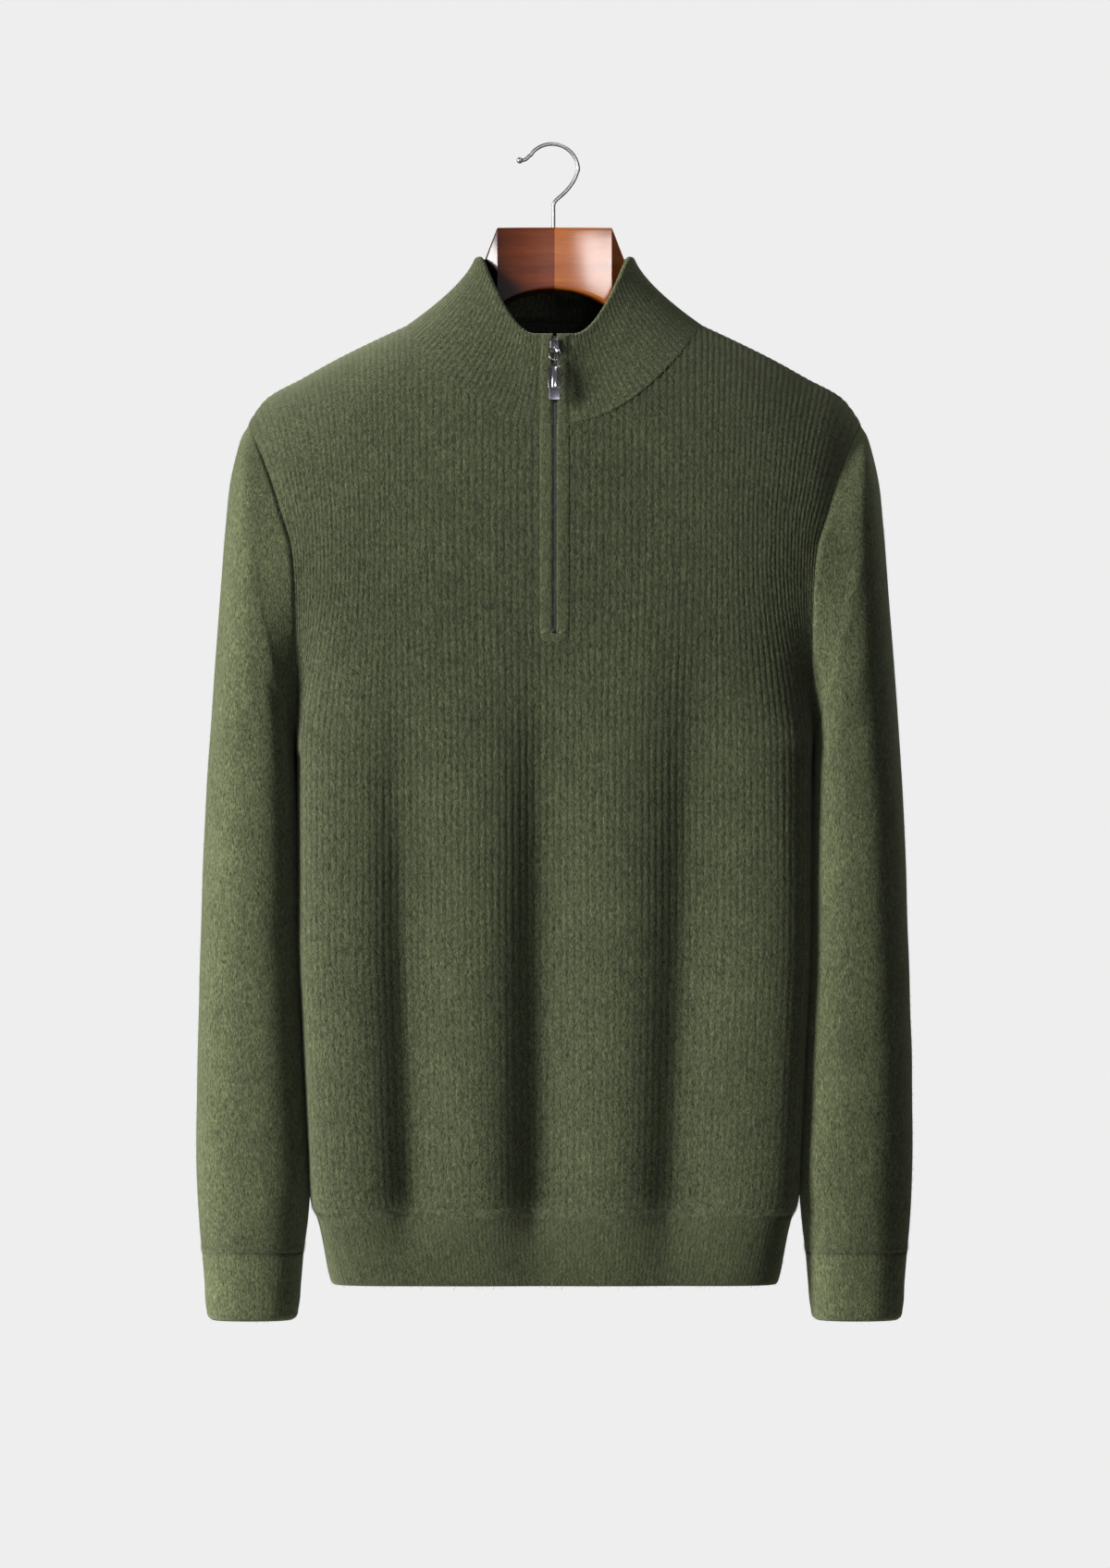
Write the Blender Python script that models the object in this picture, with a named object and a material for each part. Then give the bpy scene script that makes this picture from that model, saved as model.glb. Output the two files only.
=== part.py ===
"""A quarter zip sweater hanging on a wooden hanger.

The frame is in metres: +X is to the right seen from the front, +Y is to the back, +Z is up, and the
origin is under the crown of the hook, where a rail carries it. Lengths below are in millimetres, and
MM turns them into metres when a mesh is made. Left and right in names are the wearer's.
"""

import math
from collections import namedtuple

import bmesh
import bpy
import numpy as np

MM = 0.001
SEAM_GAP = 0.3

# ---------------------------------------------------------------- driving dimensions

BODY_WALL = 2.6
BAND_WALL = 3.0
SLEEVE_WALL = 2.4
COLLAR_WALL = 4.5
RIB_HEIGHT = 0.7
SHARP_ANGLE = math.radians(50)

PANEL_RIBS = 96
COLLAR_RIBS = 90
SLEEVE_COLUMNS = 20
HEM_COLUMNS = 48

FRONT = -1.0
BACK = 1.0

ARMPIT_HEIGHT = -443.0
HEM_SEAM_HEIGHT = -772.0
HEM_EDGE_HEIGHT = -822.0
HEM_ROUNDING_HEIGHT = 7.0
EDGE_ROUNDING = 1.2
SECTION_POWER = 6

# The trunk's horizontal sections: half width, and depth before and behind the side seam.
Trunk = namedtuple("Trunk", "height half_width front_depth back_depth")
TRUNK = (
    Trunk(-822, 161.0, 52, 46),
    Trunk(-812, 163.5, 54, 48),
    Trunk(-799, 165.8, 56, 50),
    Trunk(-785, 168.5, 58, 52),
    Trunk(-772, 171.9, 60, 54),
    Trunk(-763, 176.0, 62, 56),
    Trunk(-724, 178.0, 64, 58),
    Trunk(-640, 182.3, 65, 59),
    Trunk(-571, 185.5, 66, 60),
    Trunk(-443, 185.5, 66, 60),
)

# Soft valleys that run up from the hem: where they start and end, their widths towards the
# left and right of the view, their depth where they are deepest, and how fast they fade upward.
Fold = namedtuple("Fold", "x_low x_high width_left width_right depth top_height fade")
FRONT_FOLDS = (
    Fold(-102, -111, 13, 26, 14.5, -400, 1.3),
    Fold(-11, -9, 16, 31, 19, -360, 1.0),
    Fold(86, 102, 18, 30, 17, -360, 0.8),
)
BACK_FOLDS = (
    Fold(-92, -84, 26, 17, 15, -430, 1.2),
    Fold(6, 2, 30, 18, 13, -450, 1.0),
    Fold(104, 96, 17, 26, 14, -410, 0.9),
)

# How strong a fold is at each height, from its top end to the free edge.
FoldStrength = namedtuple("FoldStrength", "height strength")
FOLD_SIDE_FADE = 6
FOLD_STRENGTH = (
    FoldStrength(-822, 0.12),
    FoldStrength(-799, 0.30),
    FoldStrength(-772, 0.72),
    FoldStrength(-756, 1.00),
    FoldStrength(-640, 0.94),
    FoldStrength(-564, 0.82),
    FoldStrength(-497, 0.64),
    FoldStrength(-430, 0.34),
    FoldStrength(-363, 0.10),
    FoldStrength(-320, 0.00),
)

# Neck seam: it lies on the panels, and dips at the front.
NECK_HALF_WIDTH = 107.0
NECK_SIDE_HEIGHT = -130.0
NECK_FRONT_DROP = 74.0
NECK_BACK_RISE = 10.0
NECK_DROP_POWER = 2.1

# The wall's direction at the neck seam: how much it rises at the centre, and at the neck's side.
NECK_CENTRE_RISE = 0.2
Direction = namedtuple("Direction", "x z")
NECK_SIDE_WALL = Direction(0.55, 0.83)

# Collar rim: level behind, and falling to the zip in front.
RIM_HALF_WIDTH = 57.6
RIM_FRONT_DEPTH = 46.0
RIM_BACK_DEPTH = 44.0
RIM_HEIGHT = -80.0
RIM_FRONT_DROP = 58.0
RIM_DROP_FROM = math.radians(14)
RIM_DROP_TO = math.radians(76)
COLLAR_FLARE = 1.45

# Shoulder seam, from the neck to the tip where the sleeve starts.
Shoulder = namedtuple("Shoulder", "x height")
SHOULDER = (
    Shoulder(107.0, -130),
    Shoulder(132.7, -142),
    Shoulder(158.8, -155),
    Shoulder(183.9, -169),
    Shoulder(207.4, -182),
    Shoulder(218.8, -196),
    Shoulder(222.0, -202),
)

# Armhole seam, as seen from the front.
Armhole = namedtuple("Armhole", "height x")
ARMHOLE = (
    Armhole(-443, 185.5),
    Armhole(-360, 185.3),
    Armhole(-324, 185.9),
    Armhole(-295, 187.9),
    Armhole(-274, 194.0),
    Armhole(-243, 204.0),
    Armhole(-220, 213.4),
    Armhole(-202, 222.0),
)
ARMHOLE_FRONT_DEPTH = 57.0
ARMHOLE_BACK_DEPTH = 52.0
ARMHOLE_EASE = 0.92
SHOULDER_ROUNDING = 5
COLUMN_SPREAD_END = 0.5
CHEST_FLAT_FROM = 0.3

# Over the neck opening the shoulder line runs on, as an arch that only gives the cloth its slope.
RIDGE_SLOPE = 0.467
FRONT_RIDGE_RISE = 40.0
BACK_RIDGE_RISE = 95.0
NECK_BLEND = 8

# Levels of the panels, from -1 at the hem seam over 0 at the armpit to 1 at the shoulder, and the
# share of the columns of a half panel that end at the neck.
SLIT_FOOT = 0.37
PANEL_LEVELS = (-1.0, -0.925, -0.6, 0.0, 0.14, SLIT_FOOT, 0.70, 0.88, 0.97, 1.0)
COLLAR_LEVELS = (0.0, 0.33, 0.7, 0.96, 1.0)
NECK_COLUMNS = 42 / 96
NECK_DEPTH = 75.0
NECK_STEP_LENGTH = 220.0
INNER_STEP = 4
CURVE_STEPS = 240
NORMAL_STEP = 0.004
SHOULDER_STEP = 0.02

# Sleeve: each ring's outer and inner point, half depth, how far back it hangs, and the power of
# its section, which is 2 for an ellipse and more for a flatter front.
Ring = namedtuple("Ring", "outer_x outer_z inner_x inner_z half_depth back power")
SLEEVE = (
    Ring(227.5, -214, 187.6, -441, 54, -2, 2.5),
    Ring(233.2, -236, 189.0, -443, 55, -2, 2.7),
    Ring(238.0, -276, 189.0, -450, 55, -2, 2.8),
    Ring(241.5, -324, 186.5, -461, 54, -4, 2.9),
    Ring(245.5, -377, 184.0, -478, 51, -6, 2.9),
    Ring(249.0, -428, 182.5, -502, 48, -9, 2.9),
    Ring(251.9, -477, 182.0, -532, 46, -12, 2.9),
    Ring(255.5, -580, 181.0, -590, 43, -14, 2.8),
    Ring(258.2, -690, 177.0, -690, 40, -15, 2.7),
    Ring(258.0, -748, 174.8, -748, 38, -15, 2.6),
    Ring(256.3, -778, 178.4, -778, 35, -15, 2.5),
    Ring(254.6, -798.85, 181.0, -798.85, 33, -15, 2.5),
)
CUFF = (
    Ring(254.4, -799.15, 181.2, -799.15, 32.5, -15, 2.5),
    Ring(252.6, -821, 183.0, -821, 31, -15, 2.5),
    Ring(251.3, -840, 184.9, -840, 29, -15, 2.5),
    Ring(248.5, -848, 187.6, -848, 27, -15, 2.5),
)
SLEEVE_CLEARANCE = 1.6
SLEEVE_FREE_DROP = 4.0
SLEEVE_BLEND_RINGS = 5
NECK_SEAM_BEVEL = 2.2
ARMHOLE_SEAM_BEVEL = 1.2
ARMHOLE_GAP = 0.6
ARMHOLE_SPLITS = 4

# Zip: the slit in the panel and collar, the tape and teeth, and the strip around the slit.
SLIT_HALF_WIDTH = 2.46
TEETH_HALF_WIDTH = 1.5
TAPE_HALF_WIDTH = 6.0
TAPE_THICKNESS = 0.8
TAPE_CLEARANCE = 0.6
PLACKET_WIDTH = 9.0
PLACKET_THICKNESS = 1.2
PLACKET_CROWN = (0.75, 1.0, 0.85, 0.85, 1.0, 0.75)
PLACKET_SLIT_FOOT = 0.366

# The strip's levels up the front, and how wide it is at each: its lower end is round.
Strip = namedtuple("Strip", "level width_share")
PLACKET = (
    Strip(0.335, 0.72),
    Strip(0.343, 0.93),
    Strip(PLACKET_SLIT_FOOT, 1.0),
    Strip(0.70, 1.0),
    Strip(0.88, 1.0),
    Strip(0.97, 1.0),
    Strip(0.998, 1.0),
)
CHAIN_PANEL_LEVELS = (0.41, 0.70, 0.88, 0.97)
CHAIN_COLLAR_LEVELS = (0.0, 0.33, 0.7, 0.93)

# Zip pull: the slider's bail carries the ring, and the ring carries the tab.
HINGE_HEIGHT = -149.0
HINGE_STAND_OFF = 3.6
PULL_SLOPE = math.radians(20)
RING_HALF_WIDTH = 4.1
RING_HALF_HEIGHT = 5.1
WIRE_RADIUS = 0.6
WIRE_STEPS = 18
WIRE_SIDES = 8
EYE_RADIUS = 1.35
EYE_OUTER_RADIUS = 2.3
EYE_WIDTH = 2.8
BAIL_OUTER_RADIUS = 2.5
BAIL_WIDTH = 1.7
BAIL_SHIFT = (0.0, 0.2, 0.3)

# The slider plate's outline round the hinge, and its layers in front of the cloth.
Corner = namedtuple("Corner", "x z")
SLIDER_OUTLINE = (
    Corner(-3.4, 4.8), Corner(-2.4, 6.0), Corner(2.4, 6.0), Corner(3.4, 4.8),
    Corner(3.2, 0.0), Corner(2.4, -3.6), Corner(-2.4, -3.6), Corner(-3.2, 0.0),
)
Layer = namedtuple("Layer", "stand_off scale")
SLIDER_LAYERS = (Layer(1.15, 1.0), Layer(1.85, 1.0), Layer(2.35, 0.82))

# Pull tab: half width and half thickness at each distance below its eye.
Tab = namedtuple("Tab", "distance half_width half_thickness")
TAB = (
    Tab(1.7, 1.4, 0.8),
    Tab(4.0, 2.2, 0.9),
    Tab(5.6, 4.2, 1.2),
    Tab(7.0, 4.7, 1.5),
    Tab(21.5, 4.7, 1.5),
    Tab(23.0, 4.0, 1.3),
    Tab(23.6, 4.0, 1.1),
    Tab(30.0, 4.0, 1.1),
    Tab(31.0, 3.4, 0.8),
)
TAB_CORNER = 0.5

# Hanger: sections along each arm, from the centre joint to the tip.
Arm = namedtuple("Arm", "x top bottom half_depth")
ARM = (
    Arm(0.15, -60.3, -104.5, 17.0),
    Arm(22.0, -60.3, -107.5, 18.0),
    Arm(41.5, -60.5, -116.5, 18.0),
    Arm(52.5, -88.0, -124.5, 13.5),
    Arm(80.0, -127.0, -147.0, 15.0),
    Arm(107.0, -145.0, -166.0, 15.5),
    Arm(160.0, -166.0, -186.0, 15.0),
    Arm(196.0, -186.0, -201.0, 12.5),
    Arm(206.0, -193.0, -202.0, 8.0),
)
# The arm's upper and lower edges are cut off by a share of its half depth, or of its height.
ARM_TOP_CUT = (0.42, 0.4)
ARM_BOTTOM_CUT = (0.25, 0.3)

# Hook: a steel wire, bent in the plane of the hanger.
HOOK_RADIUS = 1.65
HOOK_CROWN_RADIUS = 17.5
HOOK_CROWN_X = -2.0
HOOK_CROWN_ARC = (-8, 146)
HOOK_CROWN_STEPS = 12
Bend = namedtuple("Bend", "x z")
HOOK_STEM = (Bend(-0.8, -60.0), Bend(-0.8, -48.0), Bend(-0.8, -41.5), Bend(0.6, -37.6))
HOOK_NECK = (Bend(8.5, -28.6), Bend(13.3, -22.6), Bend(15.8, -17.2))
HOOK_TIP = (Bend(-18.4, -6.4), Bend(-20.8, -8.7), Bend(-23.6, -9.7))
HOOK_SIDES = 8

# ---------------------------------------------------------------- numbers and vectors


def unit(vector):
    return vector / np.linalg.norm(vector)


def smoothstep(low, high, value):
    t = min(max((value - low) / (high - low), 0.0), 1.0)
    return t * t * (3.0 - 2.0 * t)


def read(table, key, value, column):
    """One column of a table of named rows, at a value of its key column."""
    rows = sorted(table, key=lambda row: getattr(row, key))
    keys = [getattr(row, key) for row in rows]
    return float(np.interp(value, keys, [getattr(row, column) for row in rows]))


# ---------------------------------------------------------------- meshes


def fill_strip(bm, long_side, short_side):
    """Triangles between two rows of (place, vertex) that start and end at the same places."""
    i = 0
    j = 0
    while i < len(long_side) - 1 or j < len(short_side) - 1:
        next_long = long_side[i + 1][0] if i < len(long_side) - 1 else math.inf
        next_short = short_side[j + 1][0] if j < len(short_side) - 1 else math.inf
        middle_short = (short_side[j][0] + next_short) / 2
        if next_long <= middle_short or next_short == math.inf:
            bm.faces.new((long_side[i][1], long_side[i + 1][1], short_side[j][1]))
            i += 1
        else:
            bm.faces.new((long_side[i][1], short_side[j + 1][1], short_side[j][1]))
            j += 1


def wall(name, outer, inner, inner_columns, closed=False, slit=None):
    """A cloth wall: a grid of outer points, a sparser grid of inner points, and its edges.

    outer is a list of rows of points, and inner the same for the columns in inner_columns. A closed
    wall joins its last column to its first. A slit is (first column, last column, lowest row).
    """
    bm = bmesh.new()
    count = len(outer[0])
    skins = (
        [dict(enumerate(bm.verts.new(p * MM) for p in row)) for row in outer],
        [dict(zip(inner_columns, [bm.verts.new(p * MM) for p in row])) for row in inner],
    )
    top = len(outer) - 1
    left, right, foot = slit if slit else (None, None, None)

    def cut(row, column):
        return slit is not None and row >= foot and left <= column < right

    for skin in skins:
        columns = sorted(skin[0])
        pairs = list(zip(columns, columns[1:]))
        if closed:
            pairs.append((columns[-1], columns[0]))
        for row in range(top):
            for a, b in pairs:
                if not cut(row, a):
                    bm.faces.new((skin[row][a], skin[row][b], skin[row + 1][b], skin[row + 1][a]))

    def edge(row, low, high):
        rows = [[(c, skin[row][c]) for c in sorted(skin[row]) if low <= c <= high] for skin in skins]
        if closed:
            for side, skin in zip(rows, skins):
                side.append((count, skin[row][0]))
        fill_strip(bm, rows[0], rows[1])

    def side(column, low, high):
        for row in range(low, high):
            bm.faces.new((
                skins[0][row][column], skins[0][row + 1][column],
                skins[1][row + 1][column], skins[1][row][column],
            ))

    edge(0, 0, count)
    if slit:
        edge(top, 0, left)
        edge(top, right, count)
        edge(foot, left, right)
        side(left, foot, top)
        side(right, foot, top)
    else:
        edge(top, 0, count)
    if not closed:
        side(0, 0, top)
        side(count - 1, 0, top)
    return finish_mesh(name, bm)


def loft(name, sections):
    """A solid through closed sections of the same number of points, capped at both ends."""
    bm = bmesh.new()
    rings = [[bm.verts.new(np.asarray(p) * MM) for p in section] for section in sections]
    sides = len(rings[0])
    for low, high in zip(rings, rings[1:]):
        for k in range(sides):
            n = (k + 1) % sides
            bm.faces.new((low[k], low[n], high[n], high[k]))
    bm.faces.new(rings[0])
    bm.faces.new(rings[-1])
    return finish_mesh(name, bm)


def sweep_ring(name, centres, radius, sides):
    """A closed wire through centres that lie in one plane around their mean."""
    bm = bmesh.new()
    middle = np.mean(centres, axis=0)
    count = len(centres)
    rings = []
    for i, centre in enumerate(centres):
        along = unit(centres[(i + 1) % count] - centres[i - 1])
        out = unit(centre - middle)
        across = unit(np.cross(along, out))
        out = np.cross(across, along)
        angles = [2 * math.pi * k / sides for k in range(sides)]
        points = [centre + radius * (math.cos(a) * out + math.sin(a) * across) for a in angles]
        rings.append([bm.verts.new(p * MM) for p in points])
    for i in range(count):
        low, high = rings[i], rings[(i + 1) % count]
        for k in range(sides):
            n = (k + 1) % sides
            bm.faces.new((low[k], low[n], high[n], high[k]))
    return finish_mesh(name, bm)


def finish_mesh(name, bm):
    loose = [v for v in bm.verts if not v.link_faces]
    bmesh.ops.delete(bm, geom=loose, context="VERTS")
    bmesh.ops.recalc_face_normals(bm, faces=bm.faces)
    mesh = bpy.data.meshes.new(name)
    bm.to_mesh(mesh)
    bm.free()
    mesh.shade_smooth()
    mesh.set_sharp_from_angle(angle=SHARP_ANGLE)
    part = bpy.data.objects.new(name, mesh)
    bpy.context.scene.collection.objects.link(part)
    return part


def join_to(part, cutter):
    """Joins a second closed shape to a part with a Boolean union."""
    cutter.hide_render = True
    cutter.display_type = "WIRE"
    union = part.modifiers.new("union", "BOOLEAN")
    union.operation = "UNION"
    union.solver = "EXACT"
    union.object = cutter


# ---------------------------------------------------------------- trunk surface


def fold_depth(folds, x, height):
    """How deep the folds are together: each falls away from its centre line, fast and then slowly."""
    strength = read(FOLD_STRENGTH, "height", height, "strength")
    total = 0.0
    for fold in folds:
        share = (height - HEM_SEAM_HEIGHT) / (fold.top_height - HEM_SEAM_HEIGHT)
        centre = fold.x_low + (fold.x_high - fold.x_low) * share
        width = fold.width_left if x < centre else fold.width_right
        reach = math.hypot(1.0, (x - centre) / width)
        total += fold.depth * math.exp(1.0 - reach) * strength**fold.fade
    return total


def trunk_section(face, u, height):
    """The point at a share u of the way, by length, from the centre of a face to its side."""
    half_width = read(TRUNK, "height", height, "half_width")
    column = "front_depth" if face == FRONT else "back_depth"
    depth = read(TRUNK, "height", height, column)
    angles = np.linspace(0.0, math.pi / 2, CURVE_STEPS)
    x = half_width * np.sin(angles) ** (2 / SECTION_POWER)
    y = depth * np.cos(angles) ** (2 / SECTION_POWER)
    length = np.concatenate(([0.0], np.cumsum(np.hypot(np.diff(x), np.diff(y)))))
    share = length / length[-1]
    return float(np.interp(abs(u), share, x)), float(np.interp(abs(u), share, y))


def neck_angle(share):
    """The angle round the neck at a column: even steps in x, closer where the seam runs back."""
    angles = np.linspace(0.0, math.pi / 2, CURVE_STEPS)
    x = NECK_HALF_WIDTH * np.sin(angles)
    lengths = np.hypot(np.diff(x), NECK_DEPTH * np.diff(np.cos(angles)))
    steps = np.maximum(np.diff(x) / NECK_HALF_WIDTH, lengths / NECK_STEP_LENGTH)
    place = np.concatenate(([0.0], np.cumsum(steps)))
    return float(np.interp(share, place / place[-1], angles))


def neck_point(face, phi, ease=0.0):
    """The neck seam; ease moves it out and down for the panels, in and up for the collar."""
    x = NECK_HALF_WIDTH * math.sin(phi)
    lift = 1.0 - abs(math.sin(phi)) ** NECK_DROP_POWER
    change = -NECK_FRONT_DROP if face == FRONT else NECK_BACK_RISE
    height = NECK_SIDE_HEIGHT + change * lift
    depth = chest_depth(face, x, x, height)
    return np.array((x + ease * math.sin(phi), face * (depth + ease * math.cos(phi)), height - ease))


def top_edge(u, h=1.0):
    """The x where a column ends at the top: evenly apart below, closer at the neck's sides above."""
    if u <= NECK_COLUMNS:
        share = u / NECK_COLUMNS
        close = math.sin(neck_angle(share))
        return NECK_HALF_WIDTH * (share + (close - share) * h**NECK_BLEND)
    reach = SHOULDER[-1].x - NECK_HALF_WIDTH
    return NECK_HALF_WIDTH + reach * (u - NECK_COLUMNS) / (1 - NECK_COLUMNS)


def ridge_height(face, x):
    """The height of the shoulder line, and of the arch that it would be over the neck opening."""
    if x >= NECK_HALF_WIDTH:
        return read(SHOULDER, "x", x, "height")
    rise = FRONT_RIDGE_RISE if face == FRONT else BACK_RIDGE_RISE
    inward = NECK_HALF_WIDTH - x
    bend = (rise - RIDGE_SLOPE * NECK_HALF_WIDTH) * (inward / NECK_HALF_WIDTH) ** 2
    return NECK_SIDE_HEIGHT + RIDGE_SLOPE * inward + bend


def armhole_point(face, t):
    height = ARMHOLE[0].height + (ARMHOLE[-1].height - ARMHOLE[0].height) * t
    depth = ARMHOLE_FRONT_DEPTH if face == FRONT else ARMHOLE_BACK_DEPTH
    bow = math.sqrt(max(0.0, 1.0 - (2.0 * t**ARMHOLE_EASE - 1.0) ** 2))
    return np.array((read(ARMHOLE, "height", height, "x"), face * depth * bow, height))


def shoulder_round(share):
    """How far out from the shoulder line the cloth stands, at a share of the way up to it."""
    return math.sqrt(max(0.0, 1.0 - share**SHOULDER_ROUNDING))


def ridge_share(face, top_x, height):
    return (height - ARMPIT_HEIGHT) / (ridge_height(face, top_x) - ARMPIT_HEIGHT)


def chest_depth(face, x, top_x, height):
    """How far a face stands out above the armpit, in the column that ends at top_x."""
    share = ridge_share(face, top_x, height)
    seam = armhole_point(face, share)
    rise = shoulder_round(share)
    depth = TRUNK[-1].front_depth if face == FRONT else TRUNK[-1].back_depth
    edge_depth = abs(seam[1]) / rise if rise > 0 else 0.0
    bow = 1 / SECTION_POWER + (1 - 1 / SECTION_POWER) * smoothstep(0.0, CHEST_FLAT_FROM, share)
    across = min(x / seam[0], 1.0)
    return (edge_depth + (depth - edge_depth) * (1.0 - across**SECTION_POWER) ** bow) * rise


def upper_point(face, u, h):
    """A point between the armpit and the shoulder line, for u and h from 0 to 1."""
    top_x = top_edge(u, h)
    top = ridge_height(face, top_x)
    if u < NECK_COLUMNS:
        top = neck_point(face, math.asin(top_x / NECK_HALF_WIDTH))[2]
    height = ARMPIT_HEIGHT + (top - ARMPIT_HEIGHT) * h
    share = ridge_share(face, top_x, height)
    edge_x = armhole_point(face, share)[0]
    tip_x = SHOULDER[-1].x
    x_low = trunk_section(face, u, ARMPIT_HEIGHT)[0] * edge_x / TRUNK[-1].half_width
    x_high = top_x - (tip_x - edge_x) * (top_x / tip_x) ** 4
    x = x_low + (x_high - x_low) * smoothstep(0.0, COLUMN_SPREAD_END, share)
    return np.array((x, face * chest_depth(face, x, top_x, height), height))


def panel_point(face, u, h):
    """A point of the front or back: u from -1 to 1 across, h from -1 (hem seam) over 0 (armpit)
    to 1 (shoulder and neck)."""
    if h < 0:
        return trunk_point(face, u, ARMPIT_HEIGHT + h * (ARMPIT_HEIGHT - HEM_SEAM_HEIGHT))
    if h == 1.0 and abs(u) <= NECK_COLUMNS:
        point = neck_point(face, neck_angle(abs(u) / NECK_COLUMNS), SEAM_GAP / 2)
    else:
        point = upper_point(face, abs(u), h)
    point[0] = math.copysign(point[0], u)
    point[1] -= face * fold_cut(face, u, point[0], point[2])
    return point


def trunk_point(face, u, height):
    x, y = trunk_section(face, u, height)
    x = math.copysign(x, u)
    return np.array((x, face * (y - fold_cut(face, u, x, height)), height))


def fold_cut(face, u, x, height):
    """How far the folds draw the cloth in: not at all at the side seams."""
    folds = FRONT_FOLDS if face == FRONT else BACK_FOLDS
    return fold_depth(folds, x, height) * (1.0 - abs(u) ** FOLD_SIDE_FADE)


def surface_normal(function, a, b, low, high, outward):
    """The unit normal of a surface function of two parameters, by differences inside its range."""
    a_low, a_high = max(a - NORMAL_STEP, low[0]), min(a + NORMAL_STEP, high[0])
    b_low, b_high = max(b - NORMAL_STEP, low[1]), min(b + NORMAL_STEP, high[1])
    along = function(a_high, b) - function(a_low, b)
    up = function(a, b_high) - function(a, b_low)
    normal = unit(np.cross(along, up))
    return normal if np.dot(normal, outward) > 0 else -normal


def collar_point(angle, v, ease=0.0):
    """A point of the collar: angle round from the centre front, v from the seam to the rim."""
    turn = abs(math.remainder(angle, 2 * math.pi))
    face = FRONT if turn < math.pi / 2 else BACK
    side = math.copysign(1.0, math.sin(angle))
    phi = turn if face == FRONT else math.pi - turn
    low = neck_point(face, phi, ease)
    depth = RIM_FRONT_DEPTH if face == FRONT else RIM_BACK_DEPTH
    drop = RIM_FRONT_DROP * (1.0 - smoothstep(RIM_DROP_FROM, RIM_DROP_TO, turn))
    x = RIM_HALF_WIDTH * math.sin(phi)
    high = np.array((x, face * depth * abs(math.cos(phi)), RIM_HEIGHT - drop))
    inward = 1.0 - (1.0 - v) ** COLLAR_FLARE
    point = low + (high - low) * np.array((inward, inward, v))
    point[0] *= side
    return point


def panel_normal(face, u, h):
    low_h = 0.0 if h >= 0 else -1.0
    high_h = 0.0 if h < 0 else 0.9999
    outward = np.array((u, face, max(h, 0.0)))
    return surface_normal(
        lambda a, b: panel_point(face, a, b), u, h, (-1.0, low_h), (1.0, high_h), outward
    )


def collar_normal(angle, v):
    outward = np.array((math.sin(angle), -math.cos(angle), 0.0))
    return surface_normal(collar_point, angle, v, (-9.0, 0.0), (9.0, 1.0), outward)


def neck_seam_direction(face, phi, side):
    """The wall's direction at the neck seam, from level at the centre to upright at the shoulder."""
    centre = np.array((0.0, face, NECK_CENTRE_RISE))
    shoulder = np.array((NECK_SIDE_WALL.x * side, 0.0, NECK_SIDE_WALL.z))
    return unit(centre * math.cos(phi) + shoulder * math.sin(phi))


def armhole_direction(face, h):
    """The wall's direction at the armhole seam, half way between the panel's and the sleeve's."""
    foot = armhole_point(face, 0.0)
    tip = armhole_point(face, 1.0)
    length = np.linalg.norm(tip - foot)
    depth = ARMHOLE_FRONT_DEPTH if face == FRONT else ARMHOLE_BACK_DEPTH
    cosine = 2.0 * h**ARMHOLE_EASE - 1.0
    sine = math.sqrt(max(0.0, 1.0 - cosine**2))
    sleeve = cosine * 2 / length * unit(tip - foot) + np.array((0.0, face * sine / depth, 0.0))
    return unit(panel_normal(face, 1.0, h) + unit(sleeve))


def wall_direction(face, u, h):
    """The direction of the wall's thickness, kept in the seam's own plane at each seam."""
    side = math.copysign(1.0, u)
    if h == 1.0 and abs(u) <= NECK_COLUMNS:
        return neck_seam_direction(face, neck_angle(abs(u) / NECK_COLUMNS), side)
    if h == 1.0:
        x_out, x_in = top_edge(min(abs(u) + SHOULDER_STEP, 1.0)), top_edge(abs(u) - SHOULDER_STEP)
        fall = ridge_height(face, x_in) - ridge_height(face, x_out)
        return unit(np.array((fall * side, 0.0, x_out - x_in)))
    if abs(u) == 1.0 and h >= 0:
        direction = armhole_direction(face, h)
        direction[0] *= side
        if h == 0.0:
            direction[1] = 0.0
        return unit(direction)
    normal = panel_normal(face, u, h)
    if h == -1.0:
        normal[2] = 0.0
    if abs(u) == 1.0 and h <= 0:
        normal[1] = 0.0
    return unit(normal)


# ---------------------------------------------------------------- cloth pieces


def make_panel(name, face):
    columns = 2 * PANEL_RIBS
    centre = columns // 2
    inner_columns = sorted(set(range(0, columns + 1, INNER_STEP)) | {centre - 1, centre + 1})
    slit = None
    if face == FRONT:
        slit = (centre - 1, centre + 1, PANEL_LEVELS.index(SLIT_FOOT))
        inner_columns.remove(centre)
    outer = []
    inner = []
    for h in PANEL_LEVELS:
        points = []
        directions = []
        for column in range(columns + 1):
            u = column / centre - 1.0
            point = panel_point(face, u, h)
            if (abs(u) == 1.0 and h <= 0) or (h == 1.0 and abs(u) >= NECK_COLUMNS):
                point[1] = face * SEAM_GAP / 2
            if h == -1.0:
                point[2] += SEAM_GAP / 2
            points.append(point)
            directions.append(wall_direction(face, u, h))
        ridges = [RIB_HEIGHT / 2 * (-1) ** column for column in range(columns + 1)]
        outer.append([p + d * r for p, d, r in zip(points, directions, ridges)])
        inner_row = []
        for c in inner_columns:
            u = c / centre - 1.0
            point = points[c]
            if h == 1.0 and abs(u) <= NECK_COLUMNS:
                angle = neck_angle(abs(u) / NECK_COLUMNS)
                point = neck_point(face, angle, NECK_SEAM_BEVEL)
                point[0] = math.copysign(point[0], u)
                point[1] = face * max(abs(point[1]), SEAM_GAP / 2)
            inner_row.append(point - directions[c] * BODY_WALL)
        inner.append(inner_row)
    return wall(name, outer, inner, inner_columns, slit=slit)


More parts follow.
